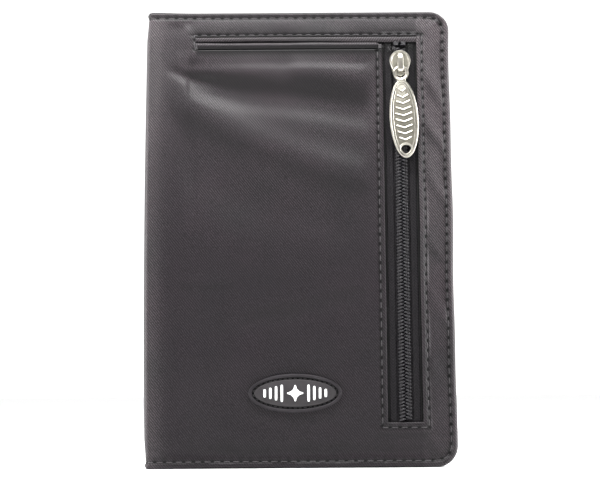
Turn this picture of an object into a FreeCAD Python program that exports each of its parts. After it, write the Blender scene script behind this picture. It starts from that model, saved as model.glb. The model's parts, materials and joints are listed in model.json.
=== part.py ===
import FreeCAD, Part
import math
import os
import Sketcher

# Passport holder wallet, closed and standing on its lower edge.
# The fold is at -X, the free edge at +X, the front faces -Y and +Z is up.
# The origin is under the middle of the whole object, on the surface that it stands on.

Vector = FreeCAD.Vector

# Driving dimensions, in millimetres and degrees. Each is a cell of the sheet "dims".
DIMENSIONS = (
    ("cover_width", 102.0, "fold to free edge"),
    ("cover_height", 152.0, "lower edge to upper edge"),
    ("closed_thickness", 7.8, "front outer face to back outer face"),
    ("shell_cloth", 1.2, "outer panels, folded twill with its backing"),
    ("lining_cloth", 0.4, "linings"),
    ("pocket_cloth", 0.25, "pocket panels and bags"),
    ("corner_radius", 6.8, "corners of the free edge"),
    ("fold_radius", 2.0, "outer radius of the cloth where it turns round the fold"),
    ("lining_inset", 1.0, "linings stop this far inside the outer panels"),
    ("pocket_inset", 3.0, "pockets stop this far inside the outer panels"),
    ("seam_inset", 2.2, "edge seam to edge"),
    ("seam_radius", 4.6, "edge seam's corner"),
    ("thread_width", 0.4, "sewing thread"),
    ("thread_depth", 0.2, "how deep a thread lies in the cloth"),
    ("slot_left", -34.4, "closed end of the slip pocket's mouth"),
    ("lip_bottom", 138.8, "lower edge of the mouth's rolled lip"),
    ("lip_top", 141.1, "upper edge of the rolled lip"),
    ("welt_bottom", 141.5, "lower edge of the welt above the mouth"),
    ("welt_top", 143.1, "upper edge of the welt"),
    ("slot_seam_height", 143.8, "seam above the welt"),
    ("lip_proud", 0.3, "rolled lip in front of the panel"),
    ("zip_centre", 34.2, "middle of the zip"),
    ("window_width", 11.4, "opening over the zip"),
    ("window_bottom", 14.6, "lower edge of the zip's opening"),
    ("zip_seam_gap", 1.7, "zip's opening to the seam beside it"),
    ("zip_room", 1.25, "space behind the front panel for tape and slider"),
    ("tape_width", 11.6, "each zip tape"),
    ("tape_cloth", 0.4, "zip tape thickness"),
    ("tape_inset", 6.0, "tape ends to the cover's edges"),
    ("coil_width", 4.2, "both coils together"),
    ("coil_gap", 0.6, "space between the coils for the slider's post"),
    ("coil_depth", 1.5, "coil thickness"),
    ("coil_end_gap", 0.3, "coils to the ends of the opening"),
    ("stop_length", 1.3, "top stops"),
    ("slider_crown", 138.0, "height of the slider's upper end"),
    ("slider_length", 9.2, "upper end to tail"),
    ("slider_width", 7.1, "widest part of the slider"),
    ("slider_tail_width", 5.8, "tail of the slider"),
    ("slider_plate", 0.7, "upper plate of the slider"),
    ("slider_back_plate", 0.6, "lower plate of the slider"),
    ("slider_clearance", 0.1, "slider plates to the coil and the tape"),
    ("slider_channel", 4.7, "space for the coils between the flanges"),
    ("flange_reach", 1.4, "flanges behind the upper plate"),
    ("post_width", 0.36, "post between the plates"),
    ("post_length", 1.6, "post along the zip"),
    ("bridge_width", 1.6, "bridge that holds the pull"),
    ("bridge_length", 7.4, "bridge along the slider"),
    ("bridge_drop", 0.7, "upper end of the slider to the bridge"),
    ("bridge_reach", 3.3, "bridge's outer face in front of the panel"),
    ("bridge_bar", 0.8, "bridge thickness in front of the pull's eye"),
    ("bridge_leg", 1.2, "bridge legs along the slider"),
    ("eye_bar", 1.0, "diameter of the pull's eye bar"),
    ("eye_drop", 6.1, "upper end of the slider to the eye bar's axis"),
    ("eye_depth", 1.85, "eye bar's axis in front of the panel"),
    ("ring_outer", 5.3, "pull's ring, outer diameter"),
    ("ring_inner", 3.4, "pull's ring, inner diameter"),
    ("ring_drop", 2.0, "eye bar to the ring's centre"),
    ("pull_plate", 1.0, "thickness of the pull"),
    ("pull_width", 9.6, "pull's oval plate"),
    ("pull_length", 26.5, "pull's oval plate"),
    ("pull_drop", 4.4, "eye bar to the oval plate"),
    ("pull_neck", 3.2, "width of the neck under the ring"),
    ("pull_recess", 0.2, "sunk field of the oval plate"),
    ("pull_rim", 1.3, "rim round the sunk field"),
    ("charm_hole", 3.6, "hole in the oval plate"),
    ("charm_rim", 0.8, "raised ring round the hole"),
    ("charm_drop", 27.9, "eye bar to the hole"),
    ("pull_tilt", 3.0, "degrees that the pull hangs aside"),
    ("badge_centre", -1.6, "middle of the badge"),
    ("badge_height", 24.1, "middle of the badge above the lower edge"),
    ("badge_width", 30.4, "badge"),
    ("badge_tall", 12.6, "badge"),
    ("badge_thick", 1.0, "badge"),
    ("badge_rim", 1.6, "rim of the badge"),
    ("badge_groove", 0.8, "groove inside the rim"),
    ("groove_depth", 0.7, "groove inside the rim"),
    ("emblem_thick", 0.3, "raised motif"),
    ("emblem_star", 3.2, "long points of the motif's star"),
    ("emblem_bar", 0.9, "width of a bar of the motif"),
    ("emblem_pitch", 2.1, "bar to bar"),
    ("emblem_tall", 5.6, "height of the bar next to the star"),
    ("emblem_step", 0.95, "how much each bar is shorter than the last"),
    ("card_mouth", 60.0, "mouth of the lowest card pocket"),
    ("card_step", 14.0, "mouth to mouth"),
    ("passport_mouth", 104.0, "mouth of the passport pocket"),
    ("long_mouth", 138.0, "mouth of the bill and boarding pass pockets"),
    ("frame_left", -43.0, "identity window frame"),
    ("frame_right", 45.0, "identity window frame"),
    ("frame_bottom", 9.0, "identity window frame"),
    ("frame_top", 69.0, "identity window frame"),
    ("frame_border", 6.0, "cloth round the identity window"),
    ("film_thick", 0.2, "identity window film"),
)
CARD_POCKETS = 4
EMBLEM_BARS = 4

doc = FreeCAD.newDocument("passport_holder_wallet")
sheet = doc.addObject("Spreadsheet::Sheet", "dims")
for row, (alias, amount, meaning) in enumerate(DIMENSIONS, start=1):
    sheet.set(f"A{row}", alias)
    sheet.set(f"B{row}", str(amount))
    sheet.set(f"C{row}", meaning)
    sheet.setAlias(f"B{row}", alias)
doc.recompute()


class Size:
    """A length: its value now, and the formula over the sheet's cells that gives it."""

    def __init__(self, value, formula):
        self.value = value
        self.formula = formula

    def __add__(self, other):
        other = as_size(other)
        return Size(self.value + other.value, f"({self.formula} + {other.formula})")

    def __sub__(self, other):
        other = as_size(other)
        return Size(self.value - other.value, f"({self.formula} - {other.formula})")

    def __mul__(self, factor):
        return Size(self.value * factor, f"({self.formula} * {factor})")

    def __truediv__(self, divisor):
        return Size(self.value / divisor, f"({self.formula} / {divisor})")

    def __neg__(self):
        return Size(-self.value, f"(-{self.formula})")


def as_size(amount):
    return amount if isinstance(amount, Size) else Size(float(amount), str(float(amount)))


def cell(alias):
    return Size(float(sheet.get(alias)), f"dims.{alias}")


ZERO = as_size(0)

# Places worked out from the driving dimensions.
FOLD = -cell("cover_width") / 2
FREE_EDGE = cell("cover_width") / 2
PANEL_EDGE = FOLD + cell("fold_radius")
FRONT_FACE = (cell("bridge_reach") - cell("closed_thickness")) / 2
BACK_FACE = (cell("bridge_reach") + cell("closed_thickness")) / 2
HALF_THREAD = cell("thread_width") / 2
WINDOW_LEFT = cell("zip_centre") - cell("window_width") / 2
WINDOW_RIGHT = cell("zip_centre") + cell("window_width") / 2


# ---------------------------------------------------------------- drawing helpers

def new_body(name):
    body = doc.addObject("PartDesign::Body", name)
    body.Label = name
    body.AllowCompound = True
    return body


def place(body, x, y, z):
    """Binds the body's own origin to a place in the wallet's frame."""
    for axis, amount in (("x", x), ("y", y), ("z", z)):
        body.setExpression(f"Placement.Base.{axis}", amount.formula)


def new_sketch(body, name, plane_role="XZ_Plane", offset=ZERO):
    """A sketch on one of the body's own planes, moved along +Y (or +X on the YZ plane) by offset."""
    sketch = body.newObject("Sketcher::SketchObject", name)
    plane = [each for each in body.Origin.OriginFeatures if each.Role == plane_role][0]
    sketch.AttachmentSupport = [(plane, "")]
    sketch.MapMode = "FlatFace"
    along = -offset if plane_role == "XZ_Plane" else offset
    sketch.setExpression("AttachmentOffset.Base.z", along.formula)
    return sketch


def bind(sketch, constraint, name, amount):
    """Adds a constraint with a size, names it and ties it to its formula."""
    index = sketch.addConstraint(Sketcher.Constraint(*constraint, amount.value))
    sketch.renameConstraint(index, name)
    sketch.setExpression(f"Constraints.{name}", amount.formula)


def square_outline(sketch, corners, tag="a"):
    """A closed outline of level and upright lines. Each corner is (x, z, radius or None)."""
    count = len(corners)
    points = [Vector(x.value, z.value, 0) for x, z, _ in corners]
    radii = [radius for _, _, radius in corners]
    ways = [(points[(i + 1) % count] - points[i]).normalize() for i in range(count)]
    trims = [radius.value if radius else 0.0 for radius in radii]
    lines = []
    for i in range(count):
        start = points[i] + ways[i] * trims[i]
        end = points[(i + 1) % count] - ways[i] * trims[(i + 1) % count]
        lines.append(sketch.addGeometry(Part.LineSegment(start, end)))
    for i, line in enumerate(lines):
        x, z, _ = corners[i]
        if abs(ways[i].y) < 0.5:
            sketch.addConstraint(Sketcher.Constraint("Horizontal", line))
            bind(sketch, ("DistanceY", -1, 1, line, 1), f"level_{tag}{i}", z)
        else:
            sketch.addConstraint(Sketcher.Constraint("Vertical", line))
            bind(sketch, ("DistanceX", -1, 1, line, 1), f"upright_{tag}{i}", x)
    for i, line in enumerate(lines):
        before = lines[i - 1]
        if radii[i] is None:
            sketch.addConstraint(Sketcher.Constraint("Coincident", before, 2, line, 1))
        else:
            round_corner(sketch, before, line, points[i], ways[i - 1], ways[i], radii[i], f"{tag}{i}")


def round_corner(sketch, before, after, point, way_in, way_out, radius, tag):
    """An arc that is tangent to the line before the corner and to the line after it."""
    centre = point + (way_out - way_in) * radius.value
    first = point - way_in * radius.value - centre
    last = point + way_out * radius.value - centre
    turns_left = way_in.x * way_out.y - way_in.y * way_out.x > 0
    if not turns_left:
        first, last = last, first
    begin = math.atan2(first.y, first.x)
    finish = math.atan2(last.y, last.x)
    if finish < begin:
        finish += 2 * math.pi
    circle = Part.Circle(centre, Vector(0, 0, 1), radius.value)
    arc = sketch.addGeometry(Part.ArcOfCircle(circle, begin, finish))
    entry, departure = (1, 2) if turns_left else (2, 1)
    sketch.addConstraint(Sketcher.Constraint("Tangent", before, 2, arc, entry))
    sketch.addConstraint(Sketcher.Constraint("Tangent", arc, departure, after, 1))
    bind(sketch, ("Radius", arc), f"radius_{tag}", radius)


def rectangle(left, right, bottom, top, free_radius=None):
    """Corners of a panel. The two at the free edge may be round."""
    return [(left, bottom, None), (right, bottom, free_radius),
            (right, top, free_radius), (left, top, None)]


def polygon_outline(sketch, points, tag="p"):
    """A closed outline of straight lines, with every point tied to its own formulas."""
    count = len(points)
    places = [Vector(x.value, z.value, 0) for x, z in points]
    lines = [sketch.addGeometry(Part.LineSegment(places[i], places[(i + 1) % count]))
             for i in range(count)]
    for i, line in enumerate(lines):
        sketch.addConstraint(Sketcher.Constraint("Coincident", lines[i - 1], 2, line, 1))
        bind(sketch, ("DistanceX", -1, 1, line, 1), f"x_{tag}{i}", points[i][0])
        bind(sketch, ("DistanceY", -1, 1, line, 1), f"z_{tag}{i}", points[i][1])


def circle_outline(sketch, x, z, diameter, tag="c"):
    circle = Part.Circle(Vector(x.value, z.value, 0), Vector(0, 0, 1), diameter.value / 2)
    index = sketch.addGeometry(circle)
    bind(sketch, ("DistanceX", -1, 1, index, 3), f"x_{tag}", x)
    bind(sketch, ("DistanceY", -1, 1, index, 3), f"z_{tag}", z)
    bind(sketch, ("Diameter", index), f"diameter_{tag}", diameter)


def oval_outline(sketch, x, z, width, tall, tag="o"):
    """An ellipse with its axes level and upright."""
    centre = Vector(x.value, z.value, 0)
    half_width = Vector(width.value / 2, 0, 0)
    half_tall = Vector(0, tall.value / 2, 0)
    lies = width.value > tall.value
    if lies:
        ellipse = Part.Ellipse(centre + half_width, centre + half_tall, centre)
    else:
        ellipse = Part.Ellipse(centre + half_tall, centre - half_width, centre)
    index = sketch.addGeometry(ellipse)
    sketch.exposeInternalGeometry(index)
    major, minor = index + 1, index + 2
    sketch.addConstraint(Sketcher.Constraint("Horizontal" if lies else "Vertical", major))
    bind(sketch, ("DistanceX", -1, 1, index, 3), f"x_{tag}", x)
    bind(sketch, ("DistanceY", -1, 1, index, 3), f"z_{tag}", z)
    bind(sketch, ("Distance", major), f"major_{tag}", width if lies else tall)
    bind(sketch, ("Distance", minor), f"minor_{tag}", tall if lies else width)


def normal_way(sketch):
    """The XZ plane's normal is -Y, and the YZ plane's is +X."""
    return -1 if sketch.AttachmentSupport[0][0].Role == "XZ_Plane" else 1


def pad(body, sketch, length, towards=1, midplane=False):
    """Adds the sketch's outline as a solid that grows towards +Y (+X on the YZ plane) or back."""
    feature = body.newObject("PartDesign::Pad", f"{sketch.Name}_pad")
    feature.Profile = sketch
    feature.setExpression("Length", length.formula)
    feature.Reversed = towards != normal_way(sketch)
    feature.Midplane = midplane
    sketch.Visibility = False
    return feature


def pocket(body, sketch, depth, towards=1):
    """Cuts the sketch's outline from the body, towards +Y (+X on the YZ plane) or back."""
    doc.recompute()
    volume_before = body.Shape.Volume
    feature = body.newObject("PartDesign::Pocket", f"{sketch.Name}_pocket")
    feature.Profile = sketch
    feature.setExpression("Length", depth.formula)
    feature.Reversed = towards == normal_way(sketch)
    doc.recompute()
    if body.Shape.Volume >= volume_before - 1e-6:
        raise RuntimeError(f"{feature.Name} cuts nothing")
    return feature


def soften(body, radius, wanted):
    """Rounds the edges of the body's last feature for which wanted(edge) is true."""
    doc.recompute()
    base = body.Tip
    names = [f"Edge{i}" for i, edge in enumerate(base.Shape.Edges, start=1) if wanted(edge)]
    feature = body.newObject("PartDesign::Fillet", f"{body.Name}_round{len(body.Group)}")
    feature.Base = (base, names)
    feature.setExpression("Radius", radius.formula)
    return feature


def panel(name, corners, front, thickness):
    """A flat piece of cloth or film, with its nearer face at front."""
    body = new_body(name)
    sketch = new_sketch(body, f"{name}_outline", offset=front)
    square_outline(sketch, corners)
    pad(body, sketch, thickness)
    return body


def cut_window(body, name, corners, front, depth):
    sketch = new_sketch(body, name, offset=front)
    square_outline(sketch, corners)
    pocket(body, sketch, depth)


# ---------------------------------------------------------------- seams

def seam_outline(route, radius=None):
    """Outline of a thread that follows an open route of level and upright runs."""
    count = len(route)
    ways = []
    for (x0, z0), (x1, z1) in zip(route, route[1:]):
        way = Vector(x1.value - x0.value, z1.value - z0.value, 0).normalize()
        ways.append((round(way.x), round(way.y)))
    left_side, right_side = [], []
    for i, (x, z) in enumerate(route):
        near = [ways[i - 1]] if i == count - 1 else [ways[i]]
        turn = 0
        if 0 < i < count - 1:
            near = [ways[i - 1], ways[i]]
            turn = ways[i - 1][0] * ways[i][1] - ways[i - 1][1] * ways[i][0]
        shift_x = sum(-way[1] for way in near)
        shift_z = sum(way[0] for way in near)
        inner = radius - HALF_THREAD if turn and radius else None
        outer = radius + HALF_THREAD if turn and radius else None
        left_radius, right_radius = (inner, outer) if turn > 0 else (outer, inner)
        left_side.append((x + HALF_THREAD * shift_x, z + HALF_THREAD * shift_z, left_radius))
        right_side.append((x - HALF_THREAD * shift_x, z - HALF_THREAD * shift_z, right_radius))
    return left_side + right_side[::-1]


def sink_seam(body, name, outlines, face, inward=1, plane_role="XZ_Plane"):
    """Sinks a groove for a thread into the panel's outer face."""
    sketch = new_sketch(body, f"{name}_groove", plane_role, face)
    for tag, corners in zip("abcd", outlines):
        square_outline(sketch, corners, tag)
    pocket(body, sketch, cell("thread_depth"), inward)


def thread(name, outlines, face, inward=1, plane_role="XZ_Plane"):
    """A row of sewing thread, laid from the given face into the cloth."""
    body = new_body(name)
    sketch = new_sketch(body, f"{name}_outline", plane_role, face)
    for tag, corners in zip("abcd", outlines):
        square_outline(sketch, corners, tag)
    pad(body, sketch, cell("thread_depth"), inward)
    return body


EDGE_SEAM = seam_outline(
    [(PANEL_EDGE, cell("cover_height") - cell("seam_inset")),
     (FREE_EDGE - cell("seam_inset"), cell("cover_height") - cell("seam_inset")),
     (FREE_EDGE - cell("seam_inset"), cell("seam_inset")),
     (PANEL_EDGE, cell("seam_inset"))],
    cell("seam_radius"))

ZIP_SEAM_RIGHT = WINDOW_RIGHT + cell("zip_seam_gap")
ZIP_SEAM_LEFT = WINDOW_LEFT - cell("zip_seam_gap")
ZIP_SEAM_BOTTOM = cell("window_bottom") - cell("zip_seam_gap")
SLOT_SEAM_LEFT = cell("slot_left") - 0.5
SLOT_SEAM = seam_outline(
    [(SLOT_SEAM_LEFT, cell("lip_bottom")),
     (SLOT_SEAM_LEFT, cell("slot_seam_height")),
     (ZIP_SEAM_RIGHT - 1, cell("slot_seam_height"))])
ZIP_SEAM = seam_outline(
    [(ZIP_SEAM_RIGHT, cell("slot_seam_height")),
     (ZIP_SEAM_RIGHT, ZIP_SEAM_BOTTOM),
     (ZIP_SEAM_LEFT, ZIP_SEAM_BOTTOM),
     (ZIP_SEAM_LEFT, cell("lip_bottom") - 1)])


# ---------------------------------------------------------------- back cover

def cover_outline(inset):
    """A cover panel's outline, drawn in by inset at the free, upper and lower edges."""
    left = PANEL_EDGE + inset
    radius = cell("corner_radius") - inset
    return rectangle(left, FREE_EDGE - inset, inset, cell("cover_height") - inset, radius)


def make_back_cover():
    outer_front = BACK_FACE - cell("shell_cloth")
    outer = panel("back_outer_panel", cover_outline(ZERO), outer_front, cell("shell_cloth"))
    sink_seam(outer, "back_edge_seam", [EDGE_SEAM], BACK_FACE, inward=-1)
    thread("back_edge_stitching", [EDGE_SEAM], BACK_FACE, inward=-1)

    lining_front = outer_front - cell("lining_cloth")
    panel("back_lining", cover_outline(cell("lining_inset")), lining_front, cell("lining_cloth"))

    inset = cell("pocket_inset")
    boarding_front = lining_front - cell("pocket_cloth")
    panel("boarding_pass_pocket",
          rectangle(PANEL_EDGE + inset, FREE_EDGE - inset, inset, cell("long_mouth")),
          boarding_front, cell("pocket_cloth"))
    passport_front = boarding_front - cell("pocket_cloth")
    panel("passport_pocket",
          rectangle(PANEL_EDGE + inset, FREE_EDGE - inset, inset, cell("passport_mouth")),
          passport_front, cell("pocket_cloth"))
    make_identity_window(passport_front - cell("pocket_cloth"))


def make_identity_window(front):
    border = cell("frame_border")
    left, right = cell("frame_left"), cell("frame_right")
    bottom, top = cell("frame_bottom"), cell("frame_top")
    frame = panel("id_window_frame", rectangle(left, right, bottom, top), front, cell("pocket_cloth"))
    opening = rectangle(left + border, right - border, bottom + border, top - border)
    cut_window(frame, "id_window_opening", opening, front, cell("pocket_cloth"))
    panel("id_window", opening, front + (cell("pocket_cloth") - cell("film_thick")), cell("film_thick"))
    half = border / 2
    row = seam_outline([(left + half, top - half), (left + half, bottom + half),
                        (right - half, bottom + half), (right - half, top - half)])
    thread("window_stitching", [row], front, inward=-1)


# ---------------------------------------------------------------- spine

def make_spine():
    """The strip round the fold. It is drawn on the YZ plane, where x is the sketch's depth."""
    near = FRONT_FACE + cell("fold_radius")
    far = BACK_FACE - cell("fold_radius")
    outer = new_body("spine_outer_panel")
    sketch = new_sketch(outer, "spine_outer_outline", "YZ_Plane", FOLD)
    square_outline(sketch, rectangle(near, far, ZERO, cell("cover_height")))
    pad(outer, sketch, cell("shell_cloth"))
    rows = [seam_outline([(near, height), (far, height)])
            for height in (cell("seam_inset"), cell("cover_height") - cell("seam_inset"))]
    sink_seam(outer, "spine_seam", rows, FOLD, plane_role="YZ_Plane")
    thread("spine_stitching", rows, FOLD, plane_role="YZ_Plane")

    lining = new_body("spine_lining")
    sketch = new_sketch(lining, "spine_lining_outline", "YZ_Plane", FOLD + cell("shell_cloth"))
    inset = cell("lining_inset")
    square_outline(sketch, rectangle(near, far, inset, cell("cover_height") - inset))
    pad(lining, sketch, cell("lining_cloth"))


# ---------------------------------------------------------------- front cover

def make_front_panel():
    outer = panel("front_outer_panel", cover_outline(ZERO), FRONT_FACE, cell("shell_cloth"))
    opening = [(cell("slot_left"), cell("lip_bottom"), None),
               (WINDOW_LEFT, cell("lip_bottom"), None),
               (WINDOW_LEFT, cell("window_bottom"), None),
               (WINDOW_RIGHT, cell("window_bottom"), None),
               (WINDOW_RIGHT, cell("welt_top"), None),
               (cell("slot_left"), cell("welt_top"), None)]
    cut_window(outer, "front_opening", opening, FRONT_FACE, cell("shell_cloth"))
    sink_seam(outer, "front_seams", [EDGE_SEAM, SLOT_SEAM, ZIP_SEAM], FRONT_FACE)
    thread("front_edge_stitching", [EDGE_SEAM], FRONT_FACE)
    thread("slot_stitching", [SLOT_SEAM], FRONT_FACE)
    thread("zip_stitching", [ZIP_SEAM], FRONT_FACE)


def make_slip_pocket():
    panel("slot_upper_welt",
          rectangle(cell("slot_left"), WINDOW_RIGHT, cell("welt_bottom"), cell("welt_top")),
          FRONT_FACE, cell("shell_cloth"))
    lip = panel("slot_lower_lip",
                rectangle(cell("slot_left"), WINDOW_LEFT, cell("lip_bottom"), cell("lip_top")),
                FRONT_FACE - cell("lip_proud"), cell("shell_cloth") + cell("lip_proud"))
    lip_face = FRONT_FACE.value - cell("lip_proud").value
    soften(lip, cell("lip_proud"),
           lambda edge: all(abs(vertex.Y - lip_face) < 1e-4 for vertex in edge.Vertexes))
    bag_front = FRONT_FACE + cell("shell_cloth") + cell("tape_cloth")
    panel("slot_pocket_bag",
          rectangle(cell("slot_left"), WINDOW_LEFT - cell("pocket_inset"),
                    cell("tape_inset"), cell("lip_top")),
          bag_front, cell("pocket_cloth"))


def make_zip():
    tape_front = FRONT_FACE + cell("shell_cloth")
    coil_front = tape_front - cell("coil_depth")
    half_gap = cell("coil_gap") / 2
    half_coil = cell("coil_width") / 2
    top = cell("welt_bottom") - cell("coil_end_gap")
    bottom = cell("window_bottom") + cell("coil_end_gap")
    stop_bottom = top - cell("stop_length")
    coil_top = stop_bottom - cell("coil_end_gap")
    stops = new_body("zip_top_stops")
    stop_sketch = new_sketch(stops, "zip_top_stops_outline", offset=coil_front)
    for side, way in (("left", -1), ("right", 1)):
        inner = cell("zip_centre") + half_gap * way
        coil_edge = cell("zip_centre") + half_coil * way
        tape_edge = inner + cell("tape_width") * way
        low, high = (tape_edge, inner) if way < 0 else (inner, tape_edge)
        panel(f"zip_tape_{side}",
              rectangle(low, high, cell("tape_inset"), cell("cover_height") - cell("tape_inset")),
              tape_front, cell("tape_cloth"))
        low, high = (coil_edge, inner) if way < 0 else (inner, coil_edge)
        panel(f"zip_coil_{side}", rectangle(low, high, bottom, coil_top),
              coil_front, cell("coil_depth"))
        square_outline(stop_sketch, rectangle(low, high, stop_bottom, top), side)
    pad(stops, stop_sketch, cell("coil_depth"))

    inset = cell("pocket_inset")
    panel("zip_pocket_bag",
          rectangle(PANEL_EDGE + inset, FREE_EDGE - inset, cell("tape_inset"),
                    cell("cover_height") - cell("tape_inset")),
          tape_front + cell("zip_room"), cell("pocket_cloth"))


def make_front_inside():
    lining_front = FRONT_FACE + cell("shell_cloth") + cell("zip_room") + cell("pocket_cloth")
    panel("front_lining", cover_outline(cell("lining_inset")), lining_front, cell("lining_cloth"))
    inset = cell("pocket_inset")
    left, right = PANEL_EDGE + inset, FREE_EDGE - inset
    layer_front = lining_front + cell("lining_cloth")
    panel("bill_pocket", rectangle(left, right, inset, cell("long_mouth")),
          layer_front, cell("pocket_cloth"))
    for number in range(1, CARD_POCKETS + 1):
        layer_front = layer_front + cell("pocket_cloth")
        mouth = cell("card_mouth") + cell("card_step") * (CARD_POCKETS - number)
        panel(f"card_pocket_{number}", rectangle(left, right, inset, mouth),
              layer_front, cell("pocket_cloth"))
    row_inset = cell("seam_inset")
    row = seam_outline([(left + row_inset, cell("card_mouth")),
                        (left + row_inset, inset + row_inset),
                        (right - row_inset, inset + row_inset),
                        (right - row_inset, cell("card_mouth"))])
    thread("card_pocket_stitching", [row], layer_front + cell("pocket_cloth"))


# ---------------------------------------------------------------- badge

def make_badge():
    """The badge's own origin is its middle, on the front panel's face."""
    width, tall = cell("badge_width"), cell("badge_tall")
    rim = cell("badge_rim") * 2
    groove = cell("badge_groove") * 2
    face = -cell("badge_thick")

    body = new_body("badge_body")
    sketch = new_sketch(body, "badge_outline", offset=face)
    oval_outline(sketch, ZERO, ZERO, width, tall)
    pad(body, sketch, cell("badge_thick"))
    sketch = new_sketch(body, "badge_groove_outline", offset=face)
    oval_outline(sketch, ZERO, ZERO, width - rim, tall - rim, "outer")
    oval_outline(sketch, ZERO, ZERO, width - rim - groove, tall - rim - groove, "inner")
    pocket(body, sketch, cell("groove_depth"))

    stitching = new_body("badge_stitching")
    sketch = new_sketch(stitching, "badge_stitching_outline", offset=face + cell("groove_depth")
                        - cell("thread_depth"))
    slack = cell("badge_groove") - cell("thread_width")
    oval_outline(sketch, ZERO, ZERO, width - rim - slack, tall - rim - slack, "outer")
    oval_outline(sketch, ZERO, ZERO, width - rim - groove + slack,
                 tall - rim - groove + slack, "inner")
    pad(stitching, sketch, cell("thread_depth"))

    emblem = new_body("badge_emblem")
    sketch = new_sketch(emblem, "badge_emblem_outline", offset=face - cell("emblem_thick"))
    draw_emblem(sketch)
    pad(emblem, sketch, cell("emblem_thick"))
    for piece in (body, stitching, emblem):
        place(piece, cell("badge_centre"), FRONT_FACE, cell("badge_height"))


def draw_emblem(sketch):
    """A four-pointed star with upright bars beside it that get shorter outwards."""
    long_point = cell("emblem_star")
    waist = cell("emblem_star") / 4
    star = [(ZERO, long_point), (waist, waist), (long_point, ZERO), (waist, -waist),
            (ZERO, -long_point), (-waist, -waist), (-long_point, ZERO), (-waist, waist)]
    polygon_outline(sketch, star, "star")
    for number in range(EMBLEM_BARS):
        half_tall = (cell("emblem_tall") - cell("emblem_step") * number) / 2
        near = long_point + cell("emblem_bar") / 2 + cell("emblem_pitch") * number
        far = near + cell("emblem_bar")
        square_outline(sketch, rectangle(near, far, -half_tall, half_tall), f"right{number}_")
        square_outline(sketch, rectangle(-far, -near, -half_tall, half_tall), f"left{number}_")


# ---------------------------------------------------------------- slider and pull

def slider_outline(sketch):
    """Rounded upper end, widest a third of the way down, narrower at the tail."""
    half = cell("slider_width") / 2
    tail = cell("slider_tail_width") / 2
    length = cell("slider_length")
    points = [(-tail, -length), (tail, -length), (half, -length / 2), (half, -length / 4),
              (half * 0.75, -length / 12), (half * 0.4, ZERO),
              (-half * 0.4, ZERO), (-half * 0.75, -length / 12), (-half, -length / 4),
              (-half, -length / 2)]
    polygon_outline(sketch, points)


def make_slider():
    """The slider's own origin is on the zip's middle line, at its upper end, on the panel's face."""
    coil_front = cell("shell_cloth") - cell("coil_depth")
    plate_back = coil_front - cell("slider_clearance")
    plate_front = plate_back - cell("slider_plate")
    back_plate_front = cell("shell_cloth") + cell("tape_cloth") + cell("slider_clearance")
    length = cell("slider_length")

    body = new_body("zip_slider")
    sketch = new_sketch(body, "slider_plate_outline", offset=plate_front)
    slider_outline(sketch)
    pad(body, sketch, cell("slider_plate") + cell("flange_reach"))
    sketch = new_sketch(body, "slider_channel_outline", offset=plate_back)
    half_channel = cell("slider_channel") / 2
    square_outline(sketch, rectangle(-half_channel, half_channel, -length - 1, as_size(1)))
    pocket(body, sketch, cell("flange_reach") + 1)

    sketch = new_sketch(body, "slider_post_outline", offset=plate_back)
    half_post = cell("post_width") / 2
    post_top = -length / 4
    square_outline(sketch, rectangle(-half_post, half_post, post_top - cell("post_length"), post_top))
    pad(body, sketch, back_plate_front - plate_back)
    sketch = new_sketch(body, "slider_back_outline", offset=back_plate_front)
    slider_outline(sketch)
    pad(body, sketch, cell("slider_back_plate"))

    add_bridge(body, plate_front)
    place(body, cell("zip_centre"), FRONT_FACE, cell("slider_crown"))


def add_bridge(body, plate_front):
    """A round-cornered arch over the pull's eye bar, drawn from the side."""
    sketch = new_sketch(body, "slider_bridge_outline", "YZ_Plane")
    outer = -cell("bridge_reach")
    inner = outer + cell("bridge_bar")
    top = -cell("bridge_drop")
    bottom = top - cell("bridge_length")
    leg = cell("bridge_leg")
    bend = cell("bridge_bar")
    square_outline(sketch, [(plate_front, bottom, None), (plate_front, bottom + leg, None),
                            (inner, bottom + leg, None), (inner, top - leg, None),
                            (plate_front, top - leg, None), (plate_front, top, None),
                            (outer, top, bend), (outer, bottom, bend)])
    pad(body, sketch, cell("bridge_width"), midplane=True)


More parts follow.
